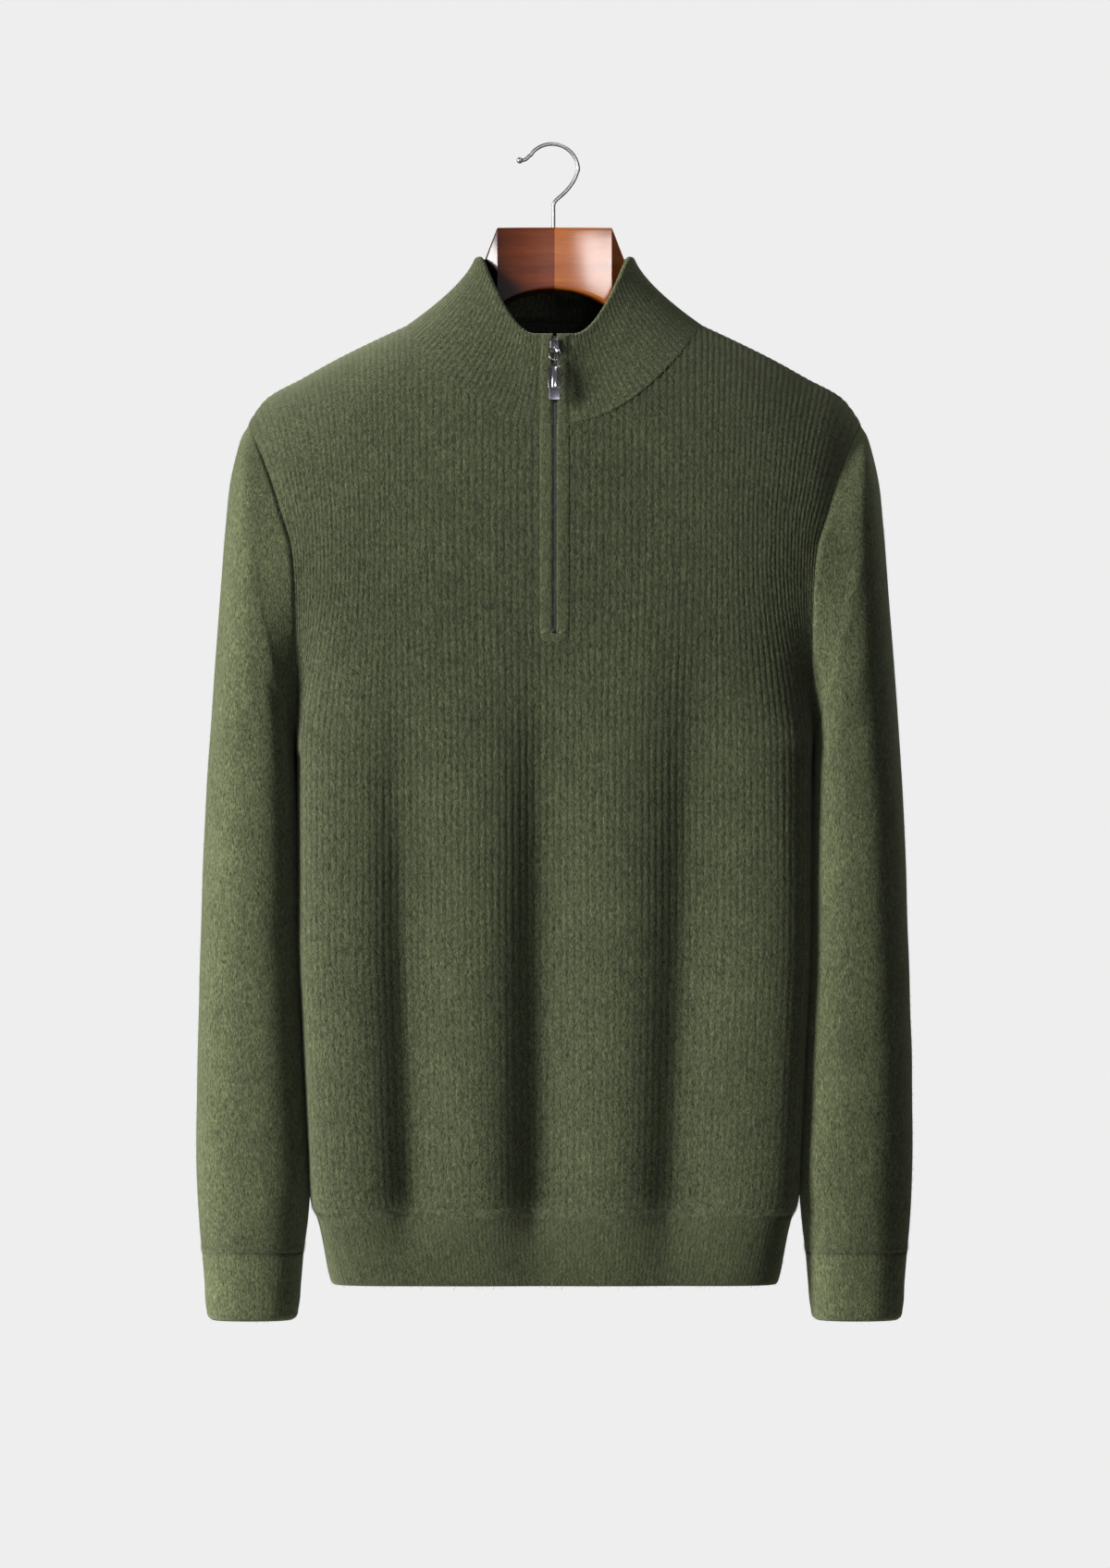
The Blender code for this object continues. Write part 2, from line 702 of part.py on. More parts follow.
def make_hem(name, face):
    top = HEM_SEAM_HEIGHT - SEAM_GAP / 2
    heights = (HEM_EDGE_HEIGHT, HEM_EDGE_HEIGHT + HEM_ROUNDING_HEIGHT, top)
    inner_columns = list(range(HEM_COLUMNS + 1))
    outer = []
    inner = []
    for height in heights:
        rounding = EDGE_ROUNDING if height == HEM_EDGE_HEIGHT else 0.0
        points = []
        directions = []
        for column in inner_columns:
            u = 2.0 * column / HEM_COLUMNS - 1.0
            point = trunk_point(face, u, height)
            normal = surface_normal(
                lambda a, b: trunk_point(face, a, b), u, height,
                (-1.0, HEM_EDGE_HEIGHT), (1.0, top), np.array((u, face, 0.0)),
            )
            normal[2] = 0.0
            if abs(u) == 1.0:
                normal[1] = 0.0
                point[1] = face * SEAM_GAP / 2
            points.append(point)
            directions.append(unit(normal))
        outer.append([p - d * rounding for p, d in zip(points, directions)])
        inner.append([p - d * (BAND_WALL - rounding / 2) for p, d in zip(points, directions)])
    return wall(name, outer, inner, inner_columns)


def make_collar():
    columns = 2 * COLLAR_RIBS
    inner_columns = list(range(0, columns + 1, INNER_STEP))
    outer = []
    inner = []
    for v in COLLAR_LEVELS:
        half_width = NECK_HALF_WIDTH + (RIM_HALF_WIDTH - NECK_HALF_WIDTH) * v
        start = math.asin(SLIT_HALF_WIDTH / half_width)
        points = []
        directions = []
        for column in range(columns + 1):
            angle = start + (2 * math.pi - 2 * start) * column / columns
            points.append(collar_point(angle, v, -SEAM_GAP / 2 if v == 0 else 0.0))
            if v == 0.0:
                turn = abs(math.remainder(angle, 2 * math.pi))
                face = FRONT if turn < math.pi / 2 else BACK
                phi = turn if face == FRONT else math.pi - turn
                side = math.copysign(1.0, math.sin(angle))
                directions.append(neck_seam_direction(face, phi, side))
            else:
                directions.append(collar_normal(angle, min(v, COLLAR_LEVELS[-2])))
        ridges = [RIB_HEIGHT / 2 * (-1) ** column for column in range(columns + 1)]
        rounding = EDGE_ROUNDING if v == COLLAR_LEVELS[-1] else 0.0
        outer.append([p + d * (r - rounding) for p, d, r in zip(points, directions, ridges)])
        thickness = COLLAR_WALL - rounding
        inner.append([points[c] - directions[c] * thickness for c in inner_columns])
    return wall("collar", outer, inner, inner_columns)


def trunk_side(y, height):
    """The half width of the trunk at a depth y, or 0 where the trunk doesn't reach."""
    half_width = read(TRUNK, "height", height, "half_width")
    depth = read(TRUNK, "height", height, "front_depth" if y < 0 else "back_depth")
    share = abs(y) / depth
    return half_width * (1.0 - share**SECTION_POWER) ** (1 / SECTION_POWER) if share < 1 else 0.0


def ring_points(ring, shares):
    """Points round a sleeve's ring, at shares of its length from the outer point, front first."""
    outer = np.array((ring.outer_x, ring.back, ring.outer_z))
    inner = np.array((ring.inner_x, ring.back, ring.inner_z))
    centre = (outer + inner) / 2
    half = (outer - inner) / 2
    angles = np.linspace(0.0, 2 * math.pi, CURVE_STEPS)
    across = np.array((0.0, -ring.half_depth, 0.0))

    def bent(share):
        return math.copysign(abs(share) ** (2 / ring.power), share)

    points = np.array([centre + bent(math.cos(a)) * half + bent(math.sin(a)) * across for a in angles])
    steps = np.linalg.norm(np.diff(points, axis=0), axis=1)
    length = np.concatenate(([0.0], np.cumsum(steps)))
    found = np.interp(shares, length / length[-1], angles)
    places = []
    for a in found:
        place = centre + bent(math.cos(a)) * half + bent(math.sin(a)) * across
        if place[2] < ARMPIT_HEIGHT - SLEEVE_FREE_DROP:
            place[0] = max(place[0], trunk_side(place[1], place[2]) + SLEEVE_CLEARANCE)
        places.append(place)
    return places


def armhole_half(face):
    """The armhole seam of one face from the armpit to the shoulder tip, with points half way
    along its longer steps: each point, the wall's direction, and the way out across the seam."""
    levels = [h for h in PANEL_LEVELS if h >= 0]
    corners = [(panel_point(face, 1.0, h), wall_direction(face, 1.0, h)) for h in levels]
    half = []
    for k, (point, direction) in enumerate(corners):
        before = corners[max(k - 1, 0)][0]
        after = corners[min(k + 1, len(corners) - 1)][0]
        across = unit(np.cross(direction, after - before)) * face
        half.append((point, direction, across))
        if k < ARMHOLE_SPLITS:
            next_point, next_direction = corners[k + 1]
            half.append(((point + next_point) / 2, unit(direction + next_direction), across))
    return half


def make_sleeve(name, side):
    front = list(reversed(armhole_half(FRONT)))
    loop = front + armhole_half(BACK)[1:-1]
    tip, armpit = 0, len(front) - 1
    seam = []
    for k, (point, direction, across) in enumerate(loop):
        if k in (tip, armpit):
            across = unit(np.array((direction[2], 0.0, -direction[0])))
            across = across if across[0] > 0 else -across
        place = point + across * ARMHOLE_GAP
        seam.append((place, place + across * ARMHOLE_SEAM_BEVEL - direction * SLEEVE_WALL))
    places = np.array([p for p, _ in seam] + [seam[0][0]])
    steps = np.linalg.norm(np.diff(places, axis=0), axis=1)
    shares = np.concatenate(([0.0], np.cumsum(steps)))[:-1] / steps.sum()
    even = np.linspace(0.0, 1.0, len(loop), endpoint=False)
    rows = [[p for p, _ in seam]]
    for index, ring in enumerate(SLEEVE):
        blend = min(index / SLEEVE_BLEND_RINGS, 1.0)
        rows.append(ring_points(ring, (1 - blend) * shares + blend * even))
    return tube(name, rows, side, SLEEVE_WALL, first_inner=[i for _, i in seam])


def make_cuff(name, side):
    shares = np.linspace(0.0, 1.0, SLEEVE_COLUMNS, endpoint=False)
    rows = [ring_points(ring, shares) for ring in CUFF]
    return tube(name, rows, side, BAND_WALL)


def tube(name, rows, side, thickness, first_inner=None):
    """A closed wall through rings, mirrored to the side that is asked for."""
    count = len(rows[0])
    outer = []
    inner = []
    for j, row in enumerate(rows):
        before = rows[max(j - 1, 0)]
        after = rows[min(j + 1, len(rows) - 1)]
        directions = []
        for k in range(count):
            round_it = row[(k + 1) % count] - row[k - 1]
            down = after[k] - before[k]
            normal = unit(np.cross(round_it, down))
            if j in (0, len(rows) - 1):
                normal[2] = 0.0
            directions.append(unit(normal))
        outer.append(row)
        inner.append([p - d * thickness for p, d in zip(row, directions)])
    inner[0] = first_inner or inner[0]
    flip = np.array((side, 1.0, 1.0))
    outer = [[p * flip for p in row] for row in outer]
    inner = [[p * flip for p in row] for row in inner]
    return wall(name, outer, inner, list(range(count)), closed=True)


# ---------------------------------------------------------------- zip


def centre_line():
    """The front's centre line from the slit's foot to the collar's rim: place, normal, wall."""
    stations = []
    for h in CHAIN_PANEL_LEVELS:
        point = panel_point(FRONT, 0.0, h)
        stations.append((point, unit(panel_normal(FRONT, 0.0, h)), BODY_WALL))
    for v in CHAIN_COLLAR_LEVELS:
        point = collar_point(0.0, v)
        stations.append((point, unit(collar_normal(0.0, v)), COLLAR_WALL))
    return stations


def make_zip_chain():
    sections = []
    for point, normal, thickness in centre_line():
        front = RIB_HEIGHT / 2
        step = -(thickness + TAPE_CLEARANCE)
        outline = (
            (-TEETH_HALF_WIDTH, front), (TEETH_HALF_WIDTH, front), (TEETH_HALF_WIDTH, step),
            (TAPE_HALF_WIDTH, step), (TAPE_HALF_WIDTH, step - TAPE_THICKNESS),
            (-TAPE_HALF_WIDTH, step - TAPE_THICKNESS), (-TAPE_HALF_WIDTH, step),
            (-TEETH_HALF_WIDTH, step),
        )
        sections.append([point + np.array((x, 0.0, 0.0)) + normal * n for x, n in outline])
    return loft("zip_chain", sections)


def make_placket():
    """The U-shaped strip, made from the front's own points and moved out."""
    half_length = trunk_length()
    edges = (SLIT_HALF_WIDTH + PLACKET_WIDTH, SLIT_HALF_WIDTH + PLACKET_WIDTH / 2, SLIT_HALF_WIDTH)
    across = [-e / half_length for e in edges] + [e / half_length for e in reversed(edges)]
    base = RIB_HEIGHT / 2 + SEAM_GAP
    outer = []
    inner = []
    for strip in PLACKET:
        places = [u * strip.width_share for u in across]
        points = [panel_point(FRONT, u, strip.level) for u in places]
        directions = [panel_normal(FRONT, u, strip.level) for u in places]
        outer.append([
            p + d * (base + PLACKET_THICKNESS * crown)
            for p, d, crown in zip(points, directions, PLACKET_CROWN)
        ])
        inner.append([p + d * base for p, d in zip(points, directions)])
    levels = [strip.level for strip in PLACKET]
    slit = (2, 3, levels.index(PLACKET_SLIT_FOOT))
    return wall("placket", outer, inner, list(range(len(across))), slit=slit)


def trunk_length():
    """The length from the centre front to the side seam at the armpit."""
    points = [trunk_section(FRONT, u, ARMPIT_HEIGHT) for u in np.linspace(0, 1, CURVE_STEPS)]
    return float(sum(math.dist(a, b) for a, b in zip(points, points[1:])))


def collar_share(height):
    """How far up the collar's centre front a height is."""
    foot = collar_point(0.0, 0.0)[2]
    rim = collar_point(0.0, 1.0)[2]
    return (height - foot) / (rim - foot)


def pull_frame():
    """The ring's hinge point, and the directions down along the cloth and out from it."""
    cloth = collar_point(0.0, collar_share(HINGE_HEIGHT))
    down = np.array((0.0, -math.sin(PULL_SLOPE), -math.cos(PULL_SLOPE)))
    out = np.array((0.0, -math.cos(PULL_SLOPE), math.sin(PULL_SLOPE)))
    return cloth + np.array((0.0, -HINGE_STAND_OFF, 0.0)), down, out


def round_eye(name, centre, width, outer_radius, inner_radius, sides=12):
    """A short tube round an axis along X."""
    bm = bmesh.new()
    profile = (
        (-width / 2, inner_radius), (width / 2, inner_radius),
        (width / 2, outer_radius), (-width / 2, outer_radius),
    )
    rings = []
    for k in range(sides):
        angle = 2 * math.pi * k / sides
        spoke = np.array((0.0, math.cos(angle), math.sin(angle)))
        rings.append([
            bm.verts.new((centre + np.array((x, 0.0, 0.0)) + spoke * r) * MM) for x, r in profile
        ])
    for k in range(sides):
        low, high = rings[k], rings[(k + 1) % sides]
        for i in range(4):
            n = (i + 1) % 4
            bm.faces.new((low[i], low[n], high[n], high[i]))
    return finish_mesh(name, bm)


def make_slider():
    """The slider's front plate, with the bail that holds the ring."""
    hinge, _, _ = pull_frame()
    sections = []
    for layer in SLIDER_LAYERS:
        section = []
        for corner in SLIDER_OUTLINE:
            height = hinge[2] + corner.z * layer.scale
            cloth = collar_point(0.0, min(collar_share(height), 1.0))
            section.append((corner.x * layer.scale, cloth[1] - layer.stand_off, height))
        sections.append(section)
    plate = loft("zip_slider", sections)
    bail_centre = hinge + np.array(BAIL_SHIFT)
    join_to(plate, round_eye("bail_shape", bail_centre, BAIL_WIDTH, BAIL_OUTER_RADIUS, EYE_RADIUS))
    return plate


def make_pull_ring():
    """The ring, whose origin lies on its hinge in the slider's bail."""
    hinge, down, _ = pull_frame()
    centres = []
    for k in range(WIRE_STEPS):
        angle = 2 * math.pi * k / WIRE_STEPS
        across = np.array((RING_HALF_WIDTH * math.sin(angle), 0.0, 0.0))
        centres.append(across + down * RING_HALF_HEIGHT * (1.0 - math.cos(angle)))
    ring = sweep_ring("pull_ring", centres, WIRE_RADIUS, WIRE_SIDES)
    ring.location = hinge * MM
    return ring


def make_pull_tab(ring):
    """The tab, whose origin is the middle of its eye, where it hangs in the ring."""
    _, down, out = pull_frame()
    side = np.array((1.0, 0.0, 0.0))
    sections = []
    for row in TAB:
        w, t = row.half_width, row.half_thickness
        cut_w, cut_t = w * TAB_CORNER, t * TAB_CORNER
        outline = (
            (w, cut_t), (cut_w, t), (-cut_w, t), (-w, cut_t),
            (-w, -cut_t), (-cut_w, -t), (cut_w, -t), (w, -cut_t),
        )
        sections.append([down * row.distance + side * x + out * n for x, n in outline])
    tab = loft("pull_tab", sections)
    head = round_eye("head_shape", np.zeros(3), EYE_WIDTH, EYE_OUTER_RADIUS, EYE_RADIUS)
    join_to(tab, head)
    for piece in (tab, head):
        piece.parent = ring
        piece.location = down * 2 * RING_HALF_HEIGHT * MM
    return tab


# ---------------------------------------------------------------- hanger


def make_hanger_half(name, side):
    sections = []
    for arm in ARM:
        height = arm.top - arm.bottom
        edge = min(ARM_TOP_CUT[0] * arm.half_depth, ARM_TOP_CUT[1] * height)
        low = min(ARM_BOTTOM_CUT[0] * arm.half_depth, ARM_BOTTOM_CUT[1] * height)
        outline = (
            (-arm.half_depth + edge, arm.top), (arm.half_depth - edge, arm.top),
            (arm.half_depth, arm.top - edge), (arm.half_depth, arm.bottom + low),
            (arm.half_depth - low, arm.bottom), (-arm.half_depth + low, arm.bottom),
            (-arm.half_depth, arm.bottom + low), (-arm.half_depth, arm.top - edge),
        )
        sections.append([np.array((side * arm.x, y, z)) for y, z in outline])
    return loft(name, sections)


def make_hook():
    """The hook's wire, from its stem over the crown's arc to its tip."""
    crown_centre = np.array((HOOK_CROWN_X, 0.0, -HOOK_CROWN_RADIUS))
    angles = np.radians(np.linspace(*HOOK_CROWN_ARC, HOOK_CROWN_STEPS))
    reach = HOOK_CROWN_RADIUS + HOOK_RADIUS
    crown = [
        crown_centre + reach * np.array((math.cos(a), 0.0, math.sin(a))) for a in angles
    ]
    bends = [np.array((b.x, 0.0, b.z)) for b in HOOK_STEM + HOOK_NECK]
    ends = [np.array((b.x, 0.0, b.z)) for b in HOOK_TIP]
    path = bends + crown + ends
    sections = []
    across = np.array((0.0, 1.0, 0.0))
    for k, point in enumerate(path):
        along = unit(path[min(k + 1, len(path) - 1)] - path[max(k - 1, 0)])
        out = np.cross(along, across)
        turns = [2 * math.pi * i / HOOK_SIDES for i in range(HOOK_SIDES)]
        sections.append([
            point + HOOK_RADIUS * (math.cos(a) * out + math.sin(a) * across) for a in turns
        ])
    return loft("hanger_hook", sections)


# ---------------------------------------------------------------- materials


def material(name, colour, roughness, metallic=0.0):
    found = bpy.data.materials.new(name)
    found.use_nodes = True
    shader = found.node_tree.nodes["Principled BSDF"]
    shader.inputs["Base Color"].default_value = (*colour, 1.0)
    shader.inputs["Roughness"].default_value = roughness
    shader.inputs["Metallic"].default_value = metallic
    return found


KNIT = ((0.075, 0.095, 0.045), 0.95)
BAND = ((0.082, 0.102, 0.050), 0.95)
WOOD = ((0.29, 0.095, 0.028), 0.25)
TAPE = ((0.012, 0.014, 0.010), 0.8)
STEEL = ((0.55, 0.55, 0.55), 0.2, 1.0)
GUNMETAL = ((0.16, 0.16, 0.17), 0.3, 1.0)


def main():
    for old in list(bpy.data.objects):
        bpy.data.objects.remove(old, do_unlink=True)
    ring = make_pull_ring()
    pieces = (
        (make_panel("front_panel", FRONT), KNIT),
        (make_panel("back_panel", BACK), KNIT),
        (make_hem("hem_front", FRONT), BAND),
        (make_hem("hem_back", BACK), BAND),
        (make_sleeve("sleeve_left", 1.0), KNIT),
        (make_sleeve("sleeve_right", -1.0), KNIT),
        (make_cuff("cuff_left", 1.0), BAND),
        (make_cuff("cuff_right", -1.0), BAND),
        (make_collar(), KNIT),
        (make_placket(), BAND),
        (make_zip_chain(), TAPE),
        (make_slider(), GUNMETAL),
        (ring, GUNMETAL),
        (make_pull_tab(ring), GUNMETAL),
        (make_hanger_half("hanger_left", 1.0), WOOD),
        (make_hanger_half("hanger_right", -1.0), WOOD),
        (make_hook(), STEEL),
    )
    for part, finish in pieces:
        part.data.materials.append(material(part.name, *finish))


main()
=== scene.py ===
"""The visual model of a quarter zip sweater on a wooden hanger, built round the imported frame.

Lengths are in millimetres until a mesh is made, with the frame's axes: +X to the right seen from
the front, +Y to the back, +Z up. Left and right in names are the wearer's.
"""

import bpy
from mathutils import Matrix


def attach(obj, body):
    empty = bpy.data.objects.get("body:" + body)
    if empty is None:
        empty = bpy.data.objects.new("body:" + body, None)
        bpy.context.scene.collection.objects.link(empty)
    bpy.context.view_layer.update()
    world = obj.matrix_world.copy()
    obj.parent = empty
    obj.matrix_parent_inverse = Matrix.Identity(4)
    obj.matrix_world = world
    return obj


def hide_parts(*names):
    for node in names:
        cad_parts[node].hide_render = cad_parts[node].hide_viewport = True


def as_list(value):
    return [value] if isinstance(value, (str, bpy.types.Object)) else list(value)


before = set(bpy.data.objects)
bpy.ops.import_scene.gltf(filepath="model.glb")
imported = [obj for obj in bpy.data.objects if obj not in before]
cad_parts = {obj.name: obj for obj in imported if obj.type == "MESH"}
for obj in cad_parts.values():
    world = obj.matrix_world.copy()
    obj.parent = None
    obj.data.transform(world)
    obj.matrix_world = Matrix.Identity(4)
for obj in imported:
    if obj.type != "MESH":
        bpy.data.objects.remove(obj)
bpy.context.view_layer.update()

from collections import namedtuple
from math import asin, cos, inf, pi, radians, sin

import bmesh
import bpy
import numpy as np
from mathutils import Vector

MM = 0.001
FRONT = -1
BACK = 1
SEAM_GAP = 0.3
BODY = "garment"
scene = bpy.context.scene
X_AXIS = np.array((1, 0, 0))
Y_AXIS = np.array((0, 1, 0))
WIRE_SHARP = 60


def table(fields, *rows):
    """Rows of numbers that can be read by the names of their fields."""
    row_type = namedtuple("Row", fields)
    return tuple(row_type(*row) for row in rows)


# ---- the garment's sizes

BODY_WALL = 2.4
BAND_WALL = 2.8
SLEEVE_WALL = 2.2
COLLAR_WALL = 5
ARMPIT_HEIGHT = -443
HEM_SEAM_HEIGHT = -772
SECTION_POWER = 6

TRUNK = table("height half_width front_depth back_depth",
    (-822, 161, 52, 46), (-812, 163.5, 54, 48), (-799, 165.8, 56, 50), (-785, 168.5, 58, 52),
    (-772, 171.9, 60, 54), (-763, 176, 62, 56), (-724, 178, 64, 58), (-640, 182.3, 65, 59),
    (-571, 185.5, 66, 60), (-443, 185.5, 66, 60))
FOLD = "x_low x_high width_left width_right depth top_height fade"
FRONT_FOLDS = table(FOLD,
    (-102, -111, 13, 25, 16.5, -400, 1.3), (-11, -9, 15, 29, 21.5, -360, 1),
    (86, 102, 17, 28, 19, -360, 0.8))
BACK_FOLDS = table(FOLD,
    (-92, -84, 26, 17, 15, -430, 1.2), (6, 2, 30, 18, 13, -450, 1),
    (104, 96, 17, 26, 14, -410, 0.9))
FOLD_SIDE_FADE = 6
FOLD_STRENGTH = table("height strength",
    (-822, 0.12), (-799, 0.30), (-772, 0.72), (-756, 1.00), (-640, 0.94), (-564, 0.82),
    (-497, 0.64), (-430, 0.34), (-363, 0.10), (-320, 0.00))

NECK_HALF_WIDTH = 107
NECK_SIDE_HEIGHT = -130
NECK_FRONT_DROP = 74
NECK_BACK_RISE = 10
NECK_DROP_POWER = 2.1
RIM_HALF_WIDTH = 57.6
RIM_FRONT_DEPTH = 46
RIM_BACK_DEPTH = 44
RIM_HEIGHT = -80
RIM_FRONT_DROP = 58
RIM_DROP_FROM = radians(14)
RIM_DROP_TO = radians(76)
COLLAR_FLARE = 1.45

SHOULDER = table("x height",
    (107, -130), (132.7, -142), (158.8, -155), (183.9, -169), (207.4, -182), (218.8, -196),
    (222, -202))
ARMHOLE = table("height x",
    (-443, 185.5), (-360, 185.3), (-324, 185.9), (-295, 187.9), (-274, 194), (-243, 204),
    (-220, 213.4), (-202, 222))
ARMHOLE_FRONT_DEPTH = 58
ARMHOLE_BACK_DEPTH = 52
ARMHOLE_EASE = 0.92
ARMHOLE_VALLEY = 0.17
SHOULDER_ROUNDING = 5
COLUMN_SPREAD_END = 0.5
CHEST_FLAT_FROM = 0.3
RIDGE_SLOPE = 0.467
FRONT_RIDGE_RISE = 40
BACK_RIDGE_RISE = 95
SLIT_FOOT = 0.37
NECK_COLUMNS = 42 / 96
CURVE_STEPS = 600

RING = "outer_x outer_z inner_x inner_z half_depth back power"
SLEEVE = table(RING,
    (227.5, -214, 186.2, -441, 54, -2.5, 2.4), (233.2, -236, 186, -443, 55, -2.5, 2.5),
    (238, -276, 185.6, -450, 55, -2.5, 2.5), (241.5, -324, 184.8, -461, 54, -4, 2.5),
    (245.5, -377, 183.6, -478, 51, -6, 2.5), (249, -428, 182, -502, 48, -9, 2.45),
    (251.9, -477, 182, -532, 46, -12, 2.4), (255.5, -580, 181, -590, 43, -14, 2.4),
    (258.2, -690, 177, -690, 40, -15, 2.4), (258, -748, 174.8, -748, 38, -15, 2.4),
    (256.3, -778, 178.4, -778, 36, -15, 2.4), (254.6, -798.85, 181, -798.85, 33, -15, 2.5))
CUFF = table(RING,
    (254.4, -799.15, 181.2, -799.15, 32.5, -15, 2.5), (252.6, -821, 183, -821, 31, -15, 2.5),
    (251.3, -840, 184.9, -840, 29, -15, 2.5), (249.6, -846.6, 186.6, -846.6, 27.5, -15, 2.5),
    (247.6, -848, 188.6, -848, 26, -15, 2.5))
SLEEVE_CLEARANCE = -0.6
SEAM_LAP = 0.4

# How fine the visual meshes are.
BODY_RIBS = 96
COLLAR_RIBS = 140
HEM_RIBS = 140
CUFF_RIBS = 64
RIB_COLUMNS = 6
RIB_PROFILE = np.array((-0.62, -0.02, 0.32, 0.36, 0.32, -0.02))
RIB_DEPTH = 0.36
BRUSHED_DEPTH = 0.55
HEM_RIB_DEPTH = 0.12
COLLAR_RIB_DEPTH = 0.26
CUFF_RIB_DEPTH = 0.3
SLEEVE_AROUND = 96
SLEEVE_ROWS = 150
SLEEVE_UNEVENNESS = 0.3
CUFF_ROWS = 20

rng = np.random.default_rng(7)

# ---- numbers and vectors


def unit(v):
    return v / np.maximum(np.linalg.norm(v, axis=-1, keepdims=True), 1e-9)


def full_turn(count, size=2 * pi):
    return np.linspace(0, size, count, endpoint=False)


def run_length(points, weight=1):
    """How far along a line each of its points lies, or each row of a grid, by weighted spans."""
    spans = np.linalg.norm(np.diff(points, axis=0), axis=-1)
    if spans.ndim > 1:
        spans = spans.mean(axis=1)
    return np.concatenate(([0], np.cumsum(spans * weight)))


def smoothstep(low, high, value):
    t = np.clip((value - low) / (high - low), 0, 1)
    return t * t * (3 - 2 * t)


def hermite(x, y, slopes, value):
    """A cubic curve through points with given slopes; y may hold whole rows of points."""
    value = np.clip(value, x[0], x[-1])
    i = np.clip(np.searchsorted(x, value) - 1, 0, len(x) - 2)
    step = x[i + 1] - x[i]
    t = (value - x[i]) / step
    if y.ndim > 1:
        shape = (-1,) + (1,) * (y.ndim - 1)
        t, step = t.reshape(shape), step.reshape(shape)
    a, b = 2 * t**3 - 3 * t**2 + 1, t**3 - 2 * t**2 + t
    c, d = -2 * t**3 + 3 * t**2, t**3 - t**2
    return a * y[i] + b * step * slopes[i] + c * y[i + 1] + d * step * slopes[i + 1]


def curve(table, key, column):
    """A smooth curve through one column of a table that doesn't overshoot its rows."""
    rows = sorted(table, key=lambda row: getattr(row, key))
    x = np.array([getattr(row, key) for row in rows], float)
    y = np.array([getattr(row, column) for row in rows], float)
    rise = np.diff(y) / np.diff(x)
    slopes = np.zeros_like(x)
    same = rise[:-1] * rise[1:] > 0
    total = np.where(same, rise[:-1] + rise[1:], 1)
    slopes[1:-1] = np.where(same, 2 * rise[:-1] * rise[1:] / total, 0)
    slopes[0], slopes[-1] = rise[0], rise[-1]
    return lambda value: hermite(x, y, slopes, np.asarray(value, float))


def between(grid, i, j, k, s, t):
    """Values of a grid at the share s from row i to the next, and t from column j to k."""
    above, below = (grid[row, j] * (1 - t) + grid[row, k] * t for row in (i, i + 1))
    return above * (1 - s) + below * s


def rough(rows, columns, row_step, column_step):
    """Smooth random waves from -1 to 1 over a grid, with bumps about so many points apart."""
    coarse = rng.uniform(-1, 1, (int(rows / row_step) + 3, int(columns / column_step) + 3))
    r = np.linspace(0, coarse.shape[0] - 2.001, rows)
    c = np.linspace(0, coarse.shape[1] - 2.001, columns)
    i, j = r.astype(int), c.astype(int)
    s, t = smoothstep(0, 1, r - i)[:, None], smoothstep(0, 1, c - j)[None, :]
    return between(coarse, i[:, None], j, j + 1, s, t)


# ---- the cloth's surfaces

trunk_width = curve(TRUNK, "height", "half_width")
trunk_front = curve(TRUNK, "height", "front_depth")
trunk_back = curve(TRUNK, "height", "back_depth")
fold_strength = curve(FOLD_STRENGTH, "height", "strength")
shoulder_height = curve(SHOULDER, "x", "height")
armhole_x = curve(ARMHOLE, "height", "x")


def fold_depth(face, x, height):
    total = np.zeros(np.shape(x))
    for fold in FRONT_FOLDS if face == FRONT else BACK_FOLDS:
        share = (height - HEM_SEAM_HEIGHT) / (fold.top_height - HEM_SEAM_HEIGHT)
        centre = fold.x_low + (fold.x_high - fold.x_low) * share
        width = np.where(x < centre, fold.width_left, fold.width_right)
        reach = np.sqrt(1 + ((x - centre) / width) ** 2)
        strength = np.maximum(fold_strength(height), 0) ** fold.fade
        total += fold.depth * np.exp(1 - reach) * strength
    return total


def trunk_section(face, u, height):
    half_width = float(trunk_width(height))
    depth = float(trunk_front(height) if face == FRONT else trunk_back(height))
    angles = np.linspace(0, pi / 2, CURVE_STEPS)
    x = half_width * np.sin(angles) ** (2 / SECTION_POWER)
    y = depth * np.cos(angles) ** (2 / SECTION_POWER)
    length = np.concatenate(([0], np.cumsum(np.hypot(np.diff(x), np.diff(y)))))
    share = length / length[-1]
    return np.interp(np.abs(u), share, x), np.interp(np.abs(u), share, y)


def armhole_point(face, t):
    height = ARMHOLE[0].height + (ARMHOLE[-1].height - ARMHOLE[0].height) * t
    depth = ARMHOLE_FRONT_DEPTH if face == FRONT else ARMHOLE_BACK_DEPTH
    bow = np.sqrt(np.maximum(0, 1 - (2 * t**ARMHOLE_EASE - 1) ** 2))
    bow = bow * (1 - ARMHOLE_VALLEY * (1 - smoothstep(0.25, 0.65, t)))
    return np.stack((armhole_x(height), face * depth * bow, height), axis=-1)


def ridge_height(face, x):
    """The height of the shoulder line, and of the arch that it would be over the neck opening."""
    rise = FRONT_RIDGE_RISE if face == FRONT else BACK_RIDGE_RISE
    inward = np.maximum(NECK_HALF_WIDTH - x, 0)
    bend = (rise - RIDGE_SLOPE * NECK_HALF_WIDTH) * (inward / NECK_HALF_WIDTH) ** 2
    arch = NECK_SIDE_HEIGHT + RIDGE_SLOPE * inward + bend
    return np.where(x < NECK_HALF_WIDTH, arch, shoulder_height(x))


def ridge_share(face, top_x, height):
    return (height - ARMPIT_HEIGHT) / (ridge_height(face, top_x) - ARMPIT_HEIGHT)


